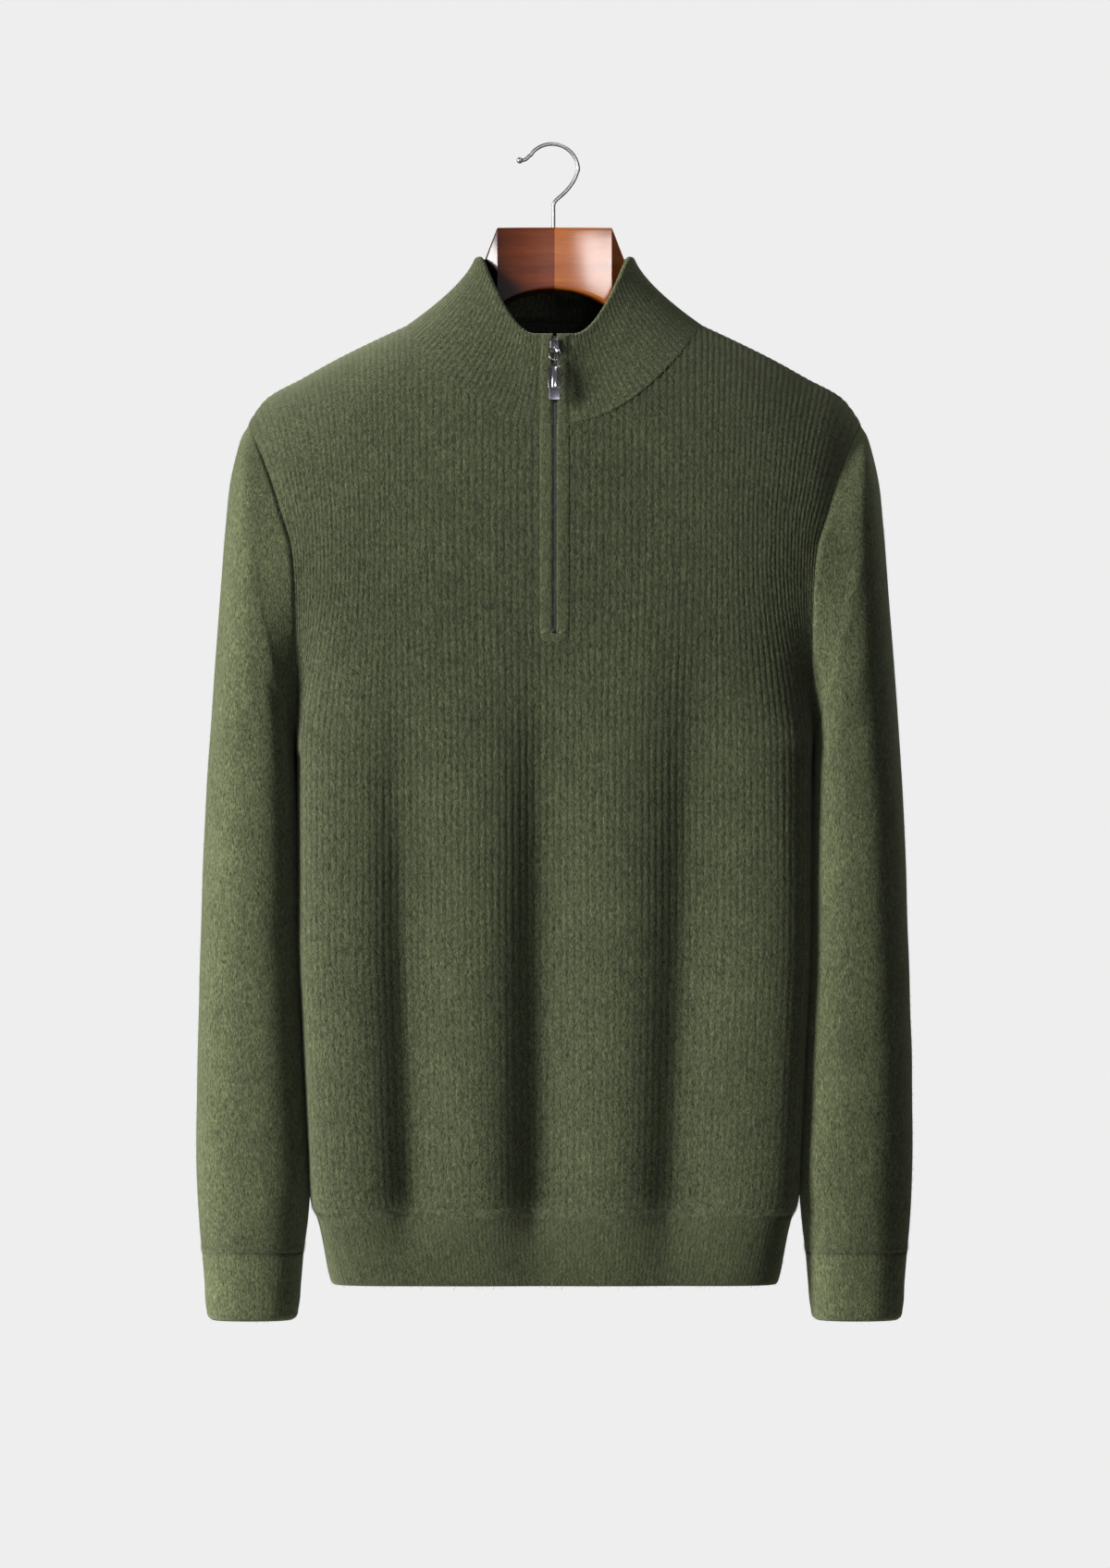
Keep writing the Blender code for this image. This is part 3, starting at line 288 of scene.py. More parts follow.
def chest_depth(face, x, top_x, height):
    """How far a face stands out above the armpit, in the column that ends at top_x."""
    share = ridge_share(face, top_x, height)
    seam = armhole_point(face, share)
    rise = np.sqrt(np.maximum(0, 1 - share**SHOULDER_ROUNDING))
    depth = TRUNK[-1].front_depth if face == FRONT else TRUNK[-1].back_depth
    edge_depth = np.where(rise > 0, np.abs(seam[..., 1]) / np.maximum(rise, 1e-6), 0)
    bow = 1 / SECTION_POWER + (1 - 1 / SECTION_POWER) * smoothstep(0, CHEST_FLAT_FROM, share)
    across = np.minimum(x / seam[..., 0], 1)
    return (edge_depth + (depth - edge_depth) * (1 - across**SECTION_POWER) ** bow) * rise


def neck_point(face, phi, ease=0):
    sine = np.sin(phi)
    x = NECK_HALF_WIDTH * sine
    change = -NECK_FRONT_DROP if face == FRONT else NECK_BACK_RISE
    height = NECK_SIDE_HEIGHT + change * (1 - np.abs(sine) ** NECK_DROP_POWER)
    depth = chest_depth(face, x, x, height)
    return np.stack((x + ease * sine, face * (depth + ease * np.cos(phi)), height - ease), axis=-1)


def upper_row(face, u, h):
    shoulder_x = np.maximum(u - NECK_COLUMNS, 0) / (1 - NECK_COLUMNS)
    top_x = NECK_HALF_WIDTH * np.minimum(u / NECK_COLUMNS, 1)
    top_x = top_x + (SHOULDER[-1].x - NECK_HALF_WIDTH) * shoulder_x
    neck = neck_point(face, np.arcsin(np.minimum(u / NECK_COLUMNS, 1)), SEAM_GAP / 2)[:, 2]
    top = np.where(u < NECK_COLUMNS, neck, ridge_height(face, top_x))
    height = ARMPIT_HEIGHT + (top - ARMPIT_HEIGHT) * h
    edge_x = armhole_point(face, ridge_share(face, top_x, height))[:, 0]
    tip_x = SHOULDER[-1].x
    x_low = trunk_section(face, u, ARMPIT_HEIGHT)[0] * edge_x / TRUNK[-1].half_width
    x_high = top_x - (tip_x - edge_x) * (top_x / tip_x) ** 4
    spread = smoothstep(0, COLUMN_SPREAD_END, ridge_share(face, top_x, height))
    x = x_low + (x_high - x_low) * spread
    return x, chest_depth(face, x, top_x, height), height


def folded_row(face, u, x, depth, height):
    """A row of points from its right half's places, on both sides and with the folds cut in."""
    x = x * np.sign(u)
    cut = fold_depth(face, x, height) * (1 - np.abs(u) ** FOLD_SIDE_FADE)
    return np.stack((x, face * (depth - cut), height), axis=-1)


def trunk_row(face, u, height):
    x, depth = trunk_section(face, u, height)
    return folded_row(face, u, x, depth, np.full_like(x, height))


def panel_row(face, u, h):
    """A row of points of the front or back at a level h from -1 (hem) over 0 (armpit) to 1."""
    if h < 0:
        return trunk_row(face, u, ARMPIT_HEIGHT + h * (ARMPIT_HEIGHT - HEM_SEAM_HEIGHT))
    return folded_row(face, u, *upper_row(face, np.abs(u), h))


def collar_row(angle, v, ease=0):
    """Points of the collar at angles round from the centre front, v from the seam to the rim."""
    turn = np.abs(np.remainder(angle + pi, 2 * pi) - pi)
    front = turn < pi / 2
    phi = np.where(front, turn, pi - turn)
    low = np.where(front[:, None], neck_point(FRONT, phi, ease), neck_point(BACK, phi, ease))
    depth = np.where(front, -RIM_FRONT_DEPTH, RIM_BACK_DEPTH)
    drop = RIM_FRONT_DROP * (1 - smoothstep(RIM_DROP_FROM, RIM_DROP_TO, turn))
    rim = (RIM_HALF_WIDTH * np.sin(phi), depth * np.abs(np.cos(phi)), RIM_HEIGHT - drop)
    inward = 1 - (1 - v) ** COLLAR_FLARE
    row = low + (np.stack(rim, axis=-1) - low) * np.array((inward, inward, v))
    row[:, 0] *= np.sign(np.sin(angle))
    return row


def slopes_along(points, axis, closed):
    if closed:
        return np.roll(points, -1, axis=axis) - np.roll(points, 1, axis=axis)
    return np.gradient(points, axis=axis)


def grid_normals(points, sign=1, closed=False):
    """Unit normals of a grid of points, from its differences."""
    return sign * unit(np.cross(slopes_along(points, 1, closed), np.gradient(points, axis=0)))


def outward_normals(points, closed=False):
    """Unit normals of a grid whose rows go round a middle, pointing away from it."""
    normals = grid_normals(points, closed=closed)
    outward = points - points.mean(axis=1, keepdims=True)
    return normals * np.sign(np.mean(np.sum(normals * outward, axis=2)))


# ---- meshes


def add_to_scene(name, data):
    item = bpy.data.objects.new(name, data)
    scene.collection.objects.link(item)
    return item


def add_object(name, vertices, faces, material, uvs=None, body=BODY):
    """A mesh object from points in millimetres; uvs is one pair for each vertex."""
    mesh = bpy.data.meshes.new(name)
    mesh.from_pydata((np.asarray(vertices) * MM).tolist(), [], faces)
    if uvs is not None:
        layer = mesh.uv_layers.new(name="knit")
        loops = np.zeros(len(mesh.loops), dtype=np.int32)
        mesh.loops.foreach_get("vertex_index", loops)
        layer.data.foreach_set("uv", np.asarray(uvs, np.float32)[loops].ravel())
    mesh.materials.append(material)
    mesh.shade_smooth()
    piece = add_to_scene(name, mesh)
    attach(piece, body)
    return piece


def register(slot, *pieces, node=None):
    """Hides the solid that the pieces stand for, where a node is given."""
    if node:
        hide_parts(node)


def fill_strip(long_side, short_side):
    """Triangles between two rows of (place, vertex) that start and end at the same places."""
    faces = []
    i = j = 0
    long_side, short_side = [*long_side, (inf, None)], [*short_side, (inf, None)]
    while i < len(long_side) - 2 or j < len(short_side) - 2:
        next_long, next_short = long_side[i + 1][0], short_side[j + 1][0]
        ends = long_side[i][1], short_side[j][1]
        if next_long <= (short_side[j][0] + next_short) / 2 or next_short == inf:
            faces.append((ends[0], long_side[i + 1][1], ends[1]))
            i += 1
        else:
            faces.append((ends[0], short_side[j + 1][1], ends[1]))
            j += 1
    return faces


def shell(name, outer, inner, material, sign=1, inner_columns=None, closed=False, slit=None,
          uvs=None):
    """A closed cloth wall from an outer grid, an inner grid of some of its columns, and edges.

    sign is 1 where the outer faces wind outward as rows and columns run, and -1 elsewhere. A slit
    is (first column, last column, lowest row).
    """
    rows, count = outer.shape[:2]
    inner_columns = list(range(count)) if inner_columns is None else inner_columns
    places = [{c: k for k, c in enumerate(group)} for group in (range(count), inner_columns)]
    columns = [[*group, count] if closed else [*group] for group in places]
    faces = []

    def vertex(skin, row, column):
        return skin * rows * count + row * len(places[skin]) + places[skin][column % count]

    def add(forward, *corners):
        faces.append(corners if forward else corners[::-1])

    out = sign > 0
    left, right, foot = slit if slit else (-1, -1, rows)
    for skin, group in enumerate(columns):
        for row in range(rows - 1):
            for a, b in zip(group, group[1:]):
                if row < foot or not left <= a < right:
                    add(out == (skin == 0), vertex(skin, row, a), vertex(skin, row, b),
                        vertex(skin, row + 1, b), vertex(skin, row + 1, a))

    def edge(row, low, high, forward):
        sides = [[(c, vertex(skin, row, c)) for c in group if low <= c <= high]
                 for skin, group in enumerate(columns)]
        for face in fill_strip(*sides):
            add(forward, *face)

    def side(column, low, high, forward):
        for row in range(low, high):
            add(forward, vertex(0, row, column), vertex(0, row + 1, column),
                vertex(1, row + 1, column), vertex(1, row, column))

    edge(0, 0, count, not out)
    if slit:
        edge(rows - 1, 0, left, out)
        edge(rows - 1, right, count, out)
        edge(foot, left, right, out)
        side(left, foot, rows - 1, not out)
        side(right, foot, rows - 1, out)
    else:
        edge(rows - 1, 0, count, out)
    if not closed:
        side(0, 0, rows - 1, out)
        side(count - 1, 0, rows - 1, not out)
    vertices = np.concatenate((outer.reshape(-1, 3), inner.reshape(-1, 3)))
    used = np.zeros(len(vertices), bool)
    used[[v for face in faces for v in face]] = True
    index = np.cumsum(used) - 1
    faces = [tuple(int(index[v]) for v in face) for face in faces]
    if uvs is not None:
        uvs = np.concatenate((uvs.reshape(-1, 2), uvs[:, inner_columns].reshape(-1, 2)))[used]
    return add_object(name, vertices[used], faces, material, uvs)


def loft(name, sections, material, body=BODY, sharp=35, closed=False):
    """A solid through sections of the same number of points, in a ring or capped at both ends."""
    sections = np.asarray(sections, float)
    count, sides = sections.shape[:2]
    steps = [(k, (k + 1) % count) for k in range(count if closed else count - 1)]
    faces = [
        (a * sides + i, a * sides + (i + 1) % sides, b * sides + (i + 1) % sides, b * sides + i)
        for a, b in steps for i in range(sides)
    ]
    if not closed:
        faces.append(tuple(range(sides))[::-1])
        faces.append(tuple((count - 1) * sides + i for i in range(sides)))
    return close_solid(name, sections.reshape(-1, 3), faces, material, body, sharp)


def close_solid(name, vertices, faces, material, body=BODY, sharp=30):
    """An object whose faces are turned outward, with soft edges up to the angle sharp."""
    piece = add_object(name, vertices, faces, material, body=body)
    bm = bmesh.new()
    bm.from_mesh(piece.data)
    bmesh.ops.recalc_face_normals(bm, faces=bm.faces)
    bm.to_mesh(piece.data)
    bm.free()
    piece.data.set_sharp_from_angle(angle=radians(sharp))
    return piece


def wire(name, path, radius, material, plane, body=BODY, sides=12, closed=False):
    """A round wire along a path; plane is a direction that the path never runs along."""
    path = np.asarray(path, float)
    along = unit(slopes_along(path, 0, closed))
    across = unit(np.cross(along, plane))
    up = np.cross(across, along)
    radius = np.broadcast_to(np.asarray(radius, float), (len(path),))[:, None, None]
    turns = full_turn(sides)[None, :, None]
    rings = path[:, None] + (np.cos(turns) * across[:, None] + np.sin(turns) * up[:, None]) * radius
    return loft(name, rings, material, body, WIRE_SHARP, closed)


# ---- materials


class Nodes:
    """A short way to write a material's nodes."""

    def __init__(self, name):
        self.material = bpy.data.materials.new(name)
        self.material.use_nodes = True
        self.tree = self.material.node_tree
        self.place = self.add("TexCoord").outputs["Object"]

    def feed(self, socket, value):
        """Links an output to an input, or sets the input to a number, a colour or a vector."""
        if isinstance(value, bpy.types.NodeSocket):
            self.tree.links.new(value, socket)
        elif isinstance(value, tuple):
            socket.default_value = (*value, 1)[: len(socket.default_value)]
        else:
            socket.default_value = value

    def add(self, kind, *values, **settings):
        """A node with its first inputs fed in order, and other inputs or properties by name."""
        node = self.tree.nodes.new("ShaderNode" + kind)
        for key, value in settings.items():
            if key in node.inputs:
                self.feed(node.inputs[key], value)
            else:
                setattr(node, key, value)
        for socket, value in zip(node.inputs, values):
            self.feed(socket, value)
        return node

    def math(self, operation, *values):
        return self.add("Math", *values, operation=operation).outputs[0]

    def noise(self, place, scale, detail=3, roughness=0.55):
        settings = {"Scale": scale, "Detail": detail, "Roughness": roughness}
        return self.add("TexNoise", place, **settings).outputs["Fac"]

    def ramp(self, value, low, high):
        """A value brought from (old low, new low) and (old high, new high) to its new range."""
        ends = (low[0], high[0], low[1], high[1])
        return self.add("MapRange", value, *ends).outputs["Result"]

    def stretched(self, scale, rotation=(0, 0, 0)):
        return self.add("Mapping", self.place, Scale=scale, Rotation=rotation).outputs[0]

    def split(self, vector):
        return self.add("SeparateXYZ", vector).outputs

    def mix(self, factor, a, b, blend="MIX"):
        node = self.add("Mix", data_type="RGBA", blend_type=blend)
        for slot, value in ((0, factor), (6, a), (7, b)):
            self.feed(node.inputs[slot], value)
        return node.outputs[2]

    def bump(self, height, distance, strength, **normal):
        node = self.add("Bump", Strength=strength, Distance=distance, **normal)
        self.feed(node.inputs["Height"], height)
        return node.outputs["Normal"]

    def finish(self, **values):
        """Feeds the shader's inputs by name and gives the material."""
        for key, value in values.items():
            self.feed(self.tree.nodes["Principled BSDF"].inputs[key.replace("_", " ")], value)
        return self.material


OLIVE_DARK = (0.042, 0.051, 0.0225)
OLIVE = (0.077, 0.090, 0.041)
OLIVE_LIGHT = (0.118, 0.136, 0.070)
STITCH_SLANT = 0.42
STITCHES = 1.6  # in each unit of the knit map


def knit_material(name, tone, upper_shaded_tone, groove_shade, stitch_depth, fuzz_depth, fleck):
    """Brushed wool knit: ribs and stitches by the knit map, heather colour and fibres by noise.

    tone is how light the wool is where it is brushed low down, and the upper tone how light
    it is painted where its ribs show, darkened by painted shade for the rib grooves.
    """
    n = Nodes(name)
    uv = n.split(n.add("UVMap", uv_map="knit").outputs[0])
    wander = n.math("MULTIPLY", n.math("SUBTRACT", n.noise(n.place, 210), 0.5), 0.9)
    across = n.math("ADD", uv["X"], wander)
    phase = n.math("ABSOLUTE", n.math("COSINE", n.math("MULTIPLY", across, pi)))
    slanted = n.math("ADD", uv["Y"], n.math("MULTIPLY", phase, STITCH_SLANT))
    stitch = n.math("SINE", n.math("MULTIPLY", slanted, 2 * pi * STITCHES))
    stitch = n.math("MULTIPLY", n.math("ADD", stitch, 1), 0.5)
    breaks = n.ramp(n.noise(n.place, 330, 3, 0.7), (0.35, 0.1), (0.62, 1))
    # Painted shade: the wool is painted darker along the rib grooves, where shade falls.
    groove = n.math("MULTIPLY", n.math("POWER", phase, 4), breaks)
    combed = n.stretched((1, 1, 0.35), (0, 0.4, 0))
    heather = n.ramp(n.noise(n.place, 420, 4, 0.7), (0.3, 0), (0.72, 1))
    base = n.mix(0.55, n.mix(heather, OLIVE_DARK, OLIVE_LIGHT), OLIVE)
    shade = 1
    for part in (
        n.ramp(n.noise(n.place, 22, 4), (0.3, 0.88), (0.7, 1.12)),
        # Painted shade: the wool is painted darker higher up, where the ribs show, for the shade in
        # their grooves.
        n.ramp(n.split(n.place)["Z"], (-0.62, tone), (-0.34, upper_shaded_tone)),
        n.ramp(n.noise(combed, 330, 2), (0.35, 0.86), (0.65, 1.14)),
        n.math("SUBTRACT", 1, n.math("MULTIPLY", groove, groove_shade)),
        n.ramp(n.noise(combed, 1000, 3, 0.7), (0.3, 1 - fleck), (0.7, 1 + fleck)),
    ):
        shade = n.math("MULTIPLY", shade, part)
    grey = n.add("CombineColor", shade, shade, shade).outputs[0]
    normal = n.bump(stitch, 0.0006, stitch_depth)
    normal = n.bump(n.noise(n.place, 700, 4, 0.75), 0.0011, fuzz_depth, Normal=normal)
    return n.finish(Base_Color=n.mix(1, base, grey, "MULTIPLY"), Normal=normal, Roughness=0.95,
                    Sheen_Weight=0.45, Sheen_Roughness=0.45, Sheen_Tint=(0.66, 0.71, 0.46),
                    Specular_IOR_Level=0.15)


def nap_material():
    n = Nodes("brushed_nap")
    tone = n.ramp(n.noise(n.place, 300, 2), (0.35, 0), (0.65, 1))
    return n.finish(Base_Color=n.mix(tone, (0.064, 0.074, 0.035), (0.15, 0.168, 0.098)),
                    Roughness=0.9, Sheen_Weight=0.3, Sheen_Roughness=0.4,
                    Sheen_Tint=(0.78, 0.8, 0.6), Specular_IOR_Level=0.2)


def wood_material(name, dark, light, shade):
    """Lacquered wood; shade is how light its painted shade is at the outer end and the joint."""
    n = Nodes(name)
    grain = n.noise(n.stretched((6, 60, 60)), 2.4, 8, 0.62)
    pores = n.noise(n.stretched((25, 420, 420)), 2, 4, 0.7)
    colour = n.mix(n.ramp(grain, (0.32, 0), (0.7, 1)), dark, light)
    colour = n.mix(n.ramp(pores, (0.55, 0), (0.75, 0.5)), colour, (0.06, 0.012, 0.003))
    # Painted shade: the colour is scaled from the joint out to the arm's end, standing in for the
    # shading of the curved arm.
    reach = n.ramp(n.math("ABSOLUTE", n.split(n.place)["X"]), (0.004, 0), (0.044, 1))
    painted_shade = n.mix(reach, (shade[1],) * 3, (shade[0],) * 3)
    return n.finish(Base_Color=n.mix(1, colour, painted_shade, "MULTIPLY"),
                    Normal=n.bump(pores, 0.0002, 0.15), Roughness=0.4, Coat_Weight=0.4,
                    Coat_Roughness=0.16, Specular_IOR_Level=0.1)


def metal_material(name, colour, roughness, wear):
    """A metal. Wear is how unevenly it shines, from 0 to 1."""
    n = Nodes(name)
    worn = n.noise(n.place, 900, 4)
    shine = (0.3, roughness * (1 - 0.2 * wear)), (0.7, roughness * (1 + 0.4 * wear))
    dull = tuple(c * (1 - 0.08 * wear) for c in colour)
    tone = n.mix(n.ramp(worn, (0.3, 0), (0.7, 1)), dull, colour)
    return n.finish(Base_Color=tone, Roughness=n.ramp(worn, *shine), Metallic=1)


def tape_material():
    n = Nodes("zip_tape_weave")
    weave = n.add("TexWave", n.place, Scale=450, Distortion=0.5, bands_direction="Z")
    threads = weave.outputs["Fac"]
    return n.finish(Base_Color=n.mix(threads, (0.006, 0.007, 0.005), (0.018, 0.02, 0.015)),
                    Normal=n.bump(threads, 0.0002, 0.6), Roughness=0.8)


RIB_KNIT = knit_material("rib_knit_wool", 0.74, 0.59, 0.42, 0.25, 0.9, 0.9)
COLLAR_KNIT = knit_material("collar_knit_wool", 0.66, 0.62, 0.55, 0.25, 0.8, 0.85)
PLAIN_KNIT = knit_material("plain_knit_wool", 0.89, 0.84, 0.12, 0.22, 0.7, 0.8)
BAND_KNIT = knit_material("band_knit_wool", 0.66, 0.66, 0.14, 0.22, 0.7, 0.6)
# The cuffs' band knit is a lit copy of the hem's, painted lighter to make up for the shade that the
# cuffs' tilt gives them.
LIT_CUFF_KNIT = knit_material("lit_cuff_knit_wool", 1.03, 1.03, 0.14, 0.22, 0.7, 0.7)
STRIP_KNIT = knit_material("strip_knit_wool", 0.72, 0.72, 0.08, 0.3, 0.7, 0.7)
NAP = nap_material()
# The hanger is one wood: a lit copy, painted lighter, for its left half and a shaded copy, painted
# darker, for its right half.
LIT_WOOD = wood_material("lacquered_wood_lit", (0.27, 0.062, 0.008),
                            (0.44, 0.125, 0.018), (0.95, 1))
SHADED_WOOD = wood_material("lacquered_wood_shaded", (0.12, 0.017, 0.0015),
                         (0.22, 0.040, 0.004), (0.15, 0.85))
STEEL = metal_material("polished_steel", (0.20, 0.197, 0.195), 0.42, 0.1)
BARREL = metal_material("polished_barrel", (0.34, 0.33, 0.34), 0.20, 0.1)
NICKEL = metal_material("dark_nickel", (0.12, 0.115, 0.125), 0.26, 0.5)
GUNMETAL = metal_material("gunmetal", (0.11, 0.105, 0.125), 0.34, 0.6)
TEETH = metal_material("blackened_teeth", (0.030, 0.030, 0.030), 0.42, 1)
TAPE = tape_material()

# ---- ribs and nap

STITCH = 3.9


def rib_columns(ribs):
    """Heights of the rib's profile at each column, and where each column is in ribs."""
    count = ribs * RIB_COLUMNS
    profile = np.concatenate((np.tile(RIB_PROFILE, ribs), RIB_PROFILE[:1]))
    return profile, np.arange(count + 1) / RIB_COLUMNS


def knit_map(points, rib_place):
    """The knit map: ribs across, and stitches along each column by its length."""
    steps = np.linalg.norm(np.diff(points, axis=0), axis=2)
    length = np.concatenate((np.zeros((1, points.shape[1])), np.cumsum(steps, axis=0)))
    across = np.broadcast_to(rib_place, length.shape)
    return np.stack((across, length / STITCH), axis=-1)


def nap(name, slot, points, normals, count, length, lift, width, lean, weight=1, closed=False):
    """Short fibres of the brushed surface, each a thin bent blade that lies over the cloth.

    The lean is how far they turn from straight down, and the weight how dense they are in each row.
    """
    rows, columns = points.shape[:2]
    place = run_length(points, weight)
    r = np.interp(rng.uniform(0, place[-1], count), place, np.arange(rows))
    c = rng.uniform(0, columns if closed else columns - 1.001, count)
    i, j = np.minimum(r.astype(int), rows - 2), c.astype(int)
    spot = i, j, (j + 1) % columns, (r - i)[:, None], (c - j)[:, None]
    root, normal = between(points, *spot), unit(between(normals, *spot))
    down = np.array((0, 0, -1)) + normal * normal[:, 2:3]
    down = unit(down + 1e-4)
    sideways = np.cross(normal, down)
    swirl = rough(rows, columns, 14, 90 if columns > 300 else 12)[i, j]
    angle = lean + swirl * 0.9 + rng.normal(0, 0.55, count)
    run = down * np.cos(angle)[:, None] + sideways * np.sin(angle)[:, None]
    size = length * rng.uniform(0.55, 1.5, count)[:, None]
    rise = lift * rng.uniform(0.2, 1.6, count)[:, None] ** 1.5
    start = root + normal * 0.15
    middle = start + run * size * 0.5 + normal * rise * 0.7
    bend = np.cross(run, normal) * rng.normal(0, 0.22, count)[:, None] * size
    tip = start + run * size + normal * rise + bend
    half = np.cross(run, normal) * (width * rng.uniform(0.6, 1.3, count) / 2)[:, None]
    vertices = np.stack((start, middle - half, middle + half, tip), axis=1).reshape(-1, 3)
    base = np.arange(count) * 4
    faces = [np.stack([base + k for k in corners], axis=1) for corners in ((0, 1, 2), (1, 3, 2))]
    piece = add_object(name, vertices, np.concatenate(faces).tolist(), NAP)
    register(slot, piece)
    return piece


# ---- body panels

# Levels of a panel's rows (from, to, how many), below closer rows in the share at its top.
TOP_SHARE = 0.16
TOP_ROWS = 24
PANEL_LEVELS = ((-1, 0, 52), (0, SLIT_FOOT, 18), (SLIT_FOOT, 1 - TOP_SHARE, 24))
SLIT_COLUMNS = 3


def build_panel(name, face, node):
    profile, rib_place = rib_columns(BODY_RIBS)
    count = len(profile)
    centre = (count - 1) // 2
    u = np.linspace(-1, 1, count)
    levels = [np.linspace(low, high, rows, endpoint=False) for low, high, rows in PANEL_LEVELS]
    top = 1 - TOP_SHARE * (1 - np.linspace(0, 1, TOP_ROWS)) ** 2
    levels = np.concatenate((*levels, top))
    surface = np.stack([panel_row(face, u, h) for h in levels])
    edge = np.abs(u) == 1
    surface[np.ix_(levels <= 0, edge, [1])] = face * SEAM_GAP / 2
    surface[0, :, 2] += SEAM_GAP / 2
    normals = grid_normals(surface, -face)
    surface[-1, np.abs(u) >= NECK_COLUMNS, 1] = face * SEAM_GAP / 2
    rows = len(levels)
    brushed = smoothstep(-0.1, -0.7, levels)[:, None]
    depth = RIB_DEPTH * (1 - BRUSHED_DEPTH * brushed) * (1 + 0.35 * rough(rows, count, 2, 6))
    wander = rough(rows, count, 3, RIB_COLUMNS * 1.5)[:, :, None] * 0.3
    sideways = unit(np.gradient(surface, axis=1))
    fade = (1 - edge.astype(float))[None, :, None]
    outer = surface + normals * (profile * depth)[:, :, None] + sideways * wander * fade
    left, right = centre - SLIT_COLUMNS, centre + SLIT_COLUMNS
    inner_columns = sorted(set(range(0, count, RIB_COLUMNS)) | {left, right})
    slit = None
    if face == FRONT:
        inner_columns = [c for c in inner_columns if not left < c < right]
        slit = (left, right, int(np.argmin(np.abs(levels - SLIT_FOOT))))
    inner = (surface - normals * BODY_WALL)[:, inner_columns]
    piece = shell(name, outer, inner, RIB_KNIT, -face, inner_columns, slit=slit,
                  uvs=knit_map(surface, rib_place))
    register("rib_knit", piece, node=node)
    weight = 0.55 + 0.9 * smoothstep(0.1, -0.6, (levels[:-1] + levels[1:]) / 2)
    return piece, outer, normals, weight


front, *front_grids, weight = build_panel("front_knit", FRONT, "front_panel")
back, *back_grids, _ = build_panel("back_knit", BACK, "back_panel")
front_naps = [nap("front_nap", "rib_knit", *front_grids, 46000, 3.4, 0.55, 0.17, 0.25, weight)]
back_naps = [nap("back_nap", "rib_knit", *back_grids, 34000, 3.4, 0.55, 0.19, -0.2, weight)]
for name, grids, naps, count, lean in (
    ("front_fringe", front_grids, front_naps, 7000, 0.1),
    ("back_fringe", back_grids, back_naps, 5000, -0.1),
):
    foot = [grid[:2] for grid in grids]
    naps.append(nap(name, "rib_knit", *foot, count, 3, 0.5, 0.15, lean))

# ---- hem band


def build_hem(name, face, node):
    profile, rib_place = rib_columns(HEM_RIBS)
    u = np.linspace(-1, 1, len(profile))
    heights = np.concatenate(((-822, -821.6, -820.4), np.linspace(-818.5, -772.15, 14)))
    rounding = np.array([1.3, 0.7, 0.2] + [0] * 14)
    surface = np.stack([trunk_row(face, u, z) for z in heights])
    surface[:, np.abs(u) == 1, 1] = face * SEAM_GAP / 2
    normals = grid_normals(surface, -face)
    normals[:, :, 2] = 0
    normals = unit(normals)
    depth = HEM_RIB_DEPTH * (1 + 0.3 * rough(len(heights), len(u), 3, 6))
    outer = surface + normals * (profile * depth - rounding[:, None])[:, :, None]
    inner_columns = list(range(0, len(u), RIB_COLUMNS))
    inner = (surface - normals * (BAND_WALL - rounding * 0.5)[:, None, None])[:, inner_columns]
    piece = shell(name, outer, inner, BAND_KNIT, -face, inner_columns,
                  uvs=knit_map(surface, rib_place))
    register("band_knit", piece, node=node)
    return piece, outer, normals


hem_front, *front_grids = build_hem("hem_front_knit", FRONT, "hem_front")
hem_back, *back_grids = build_hem("hem_back_knit", BACK, "hem_back")
hem_front_nap = nap("hem_front_nap", "band_knit", *front_grids, 3600, 2.6, 0.45, 0.16, 0.2)
hem_back_nap = nap("hem_back_nap", "band_knit", *back_grids, 2800, 2.6, 0.45, 0.16, 0.2)

# ---- sleeves and cuffs


def trunk_side(y, height):
    half_width = trunk_width(height)
    depth = np.where(y < 0, trunk_front(height), trunk_back(height))
    share = np.minimum(np.abs(y) / depth, 1)
    return half_width * (1 - share**SECTION_POWER) ** (1 / SECTION_POWER)


def ring_points(ring, shares):
    outer = np.array((ring.outer_x, ring.back, ring.outer_z))
    inner = np.array((ring.inner_x, ring.back, ring.inner_z))
    middle = (outer + inner) / 2
    half = (outer - inner) / 2
    angles = np.linspace(0, 2 * pi, CURVE_STEPS)
    across = np.array((0, -1, 0))

    def bent(share):
        return (np.sign(share) * np.abs(share) ** (2 / ring.power))[:, None]

    def at(a):
        return middle + bent(np.cos(a)) * half + bent(np.sin(a)) * ring.half_depth * across

    length = run_length(at(angles))
    points = at(np.interp(shares, length / length[-1], angles))
    low = points[:, 2] < ARMPIT_HEIGHT - 4
    reach = trunk_side(points[:, 1], np.maximum(points[:, 2], TRUNK[0].height)) + SLEEVE_CLEARANCE
    points[low, 0] = np.maximum(points[low, 0], reach[low])
    return points


def armhole_loop(count):
    """Points round the armhole seam from the shoulder tip down the front and up the back."""
    levels = np.linspace(0, 1, CURVE_STEPS)
    loop = np.concatenate((armhole_point(FRONT, levels)[::-1], armhole_point(BACK, levels)[1:]))
    length = run_length(loop)
    shares = full_turn(count, 1)
    return np.stack([np.interp(shares * length[-1], length, loop[:, k]) for k in range(3)], axis=1)


def smooth_rows(rows, count):
    """More rows through the given ones, on a smooth curve along each column."""
    rows = np.stack(rows)
    place = run_length(rows)
    slopes = np.gradient(rows, place, axis=0)
    return hermite(place, rows, slopes, np.linspace(0, place[-1], count))


def build_tube(name, node, slot, material, side, surface, normals, relief, wall, place):
    """A sleeve or cuff, worked out for the left arm and turned over where the side is -1."""
    flip = np.array((side, 1, 1))
    outer = (surface + normals * relief[:, :, None]) * flip
    inner = (surface - normals * wall) * flip
    uvs = knit_map(surface, place)
    piece = shell(name, outer, inner, material, -side, closed=True, uvs=uvs)
    register(slot, piece, node=node)
    return piece, outer, normals * flip


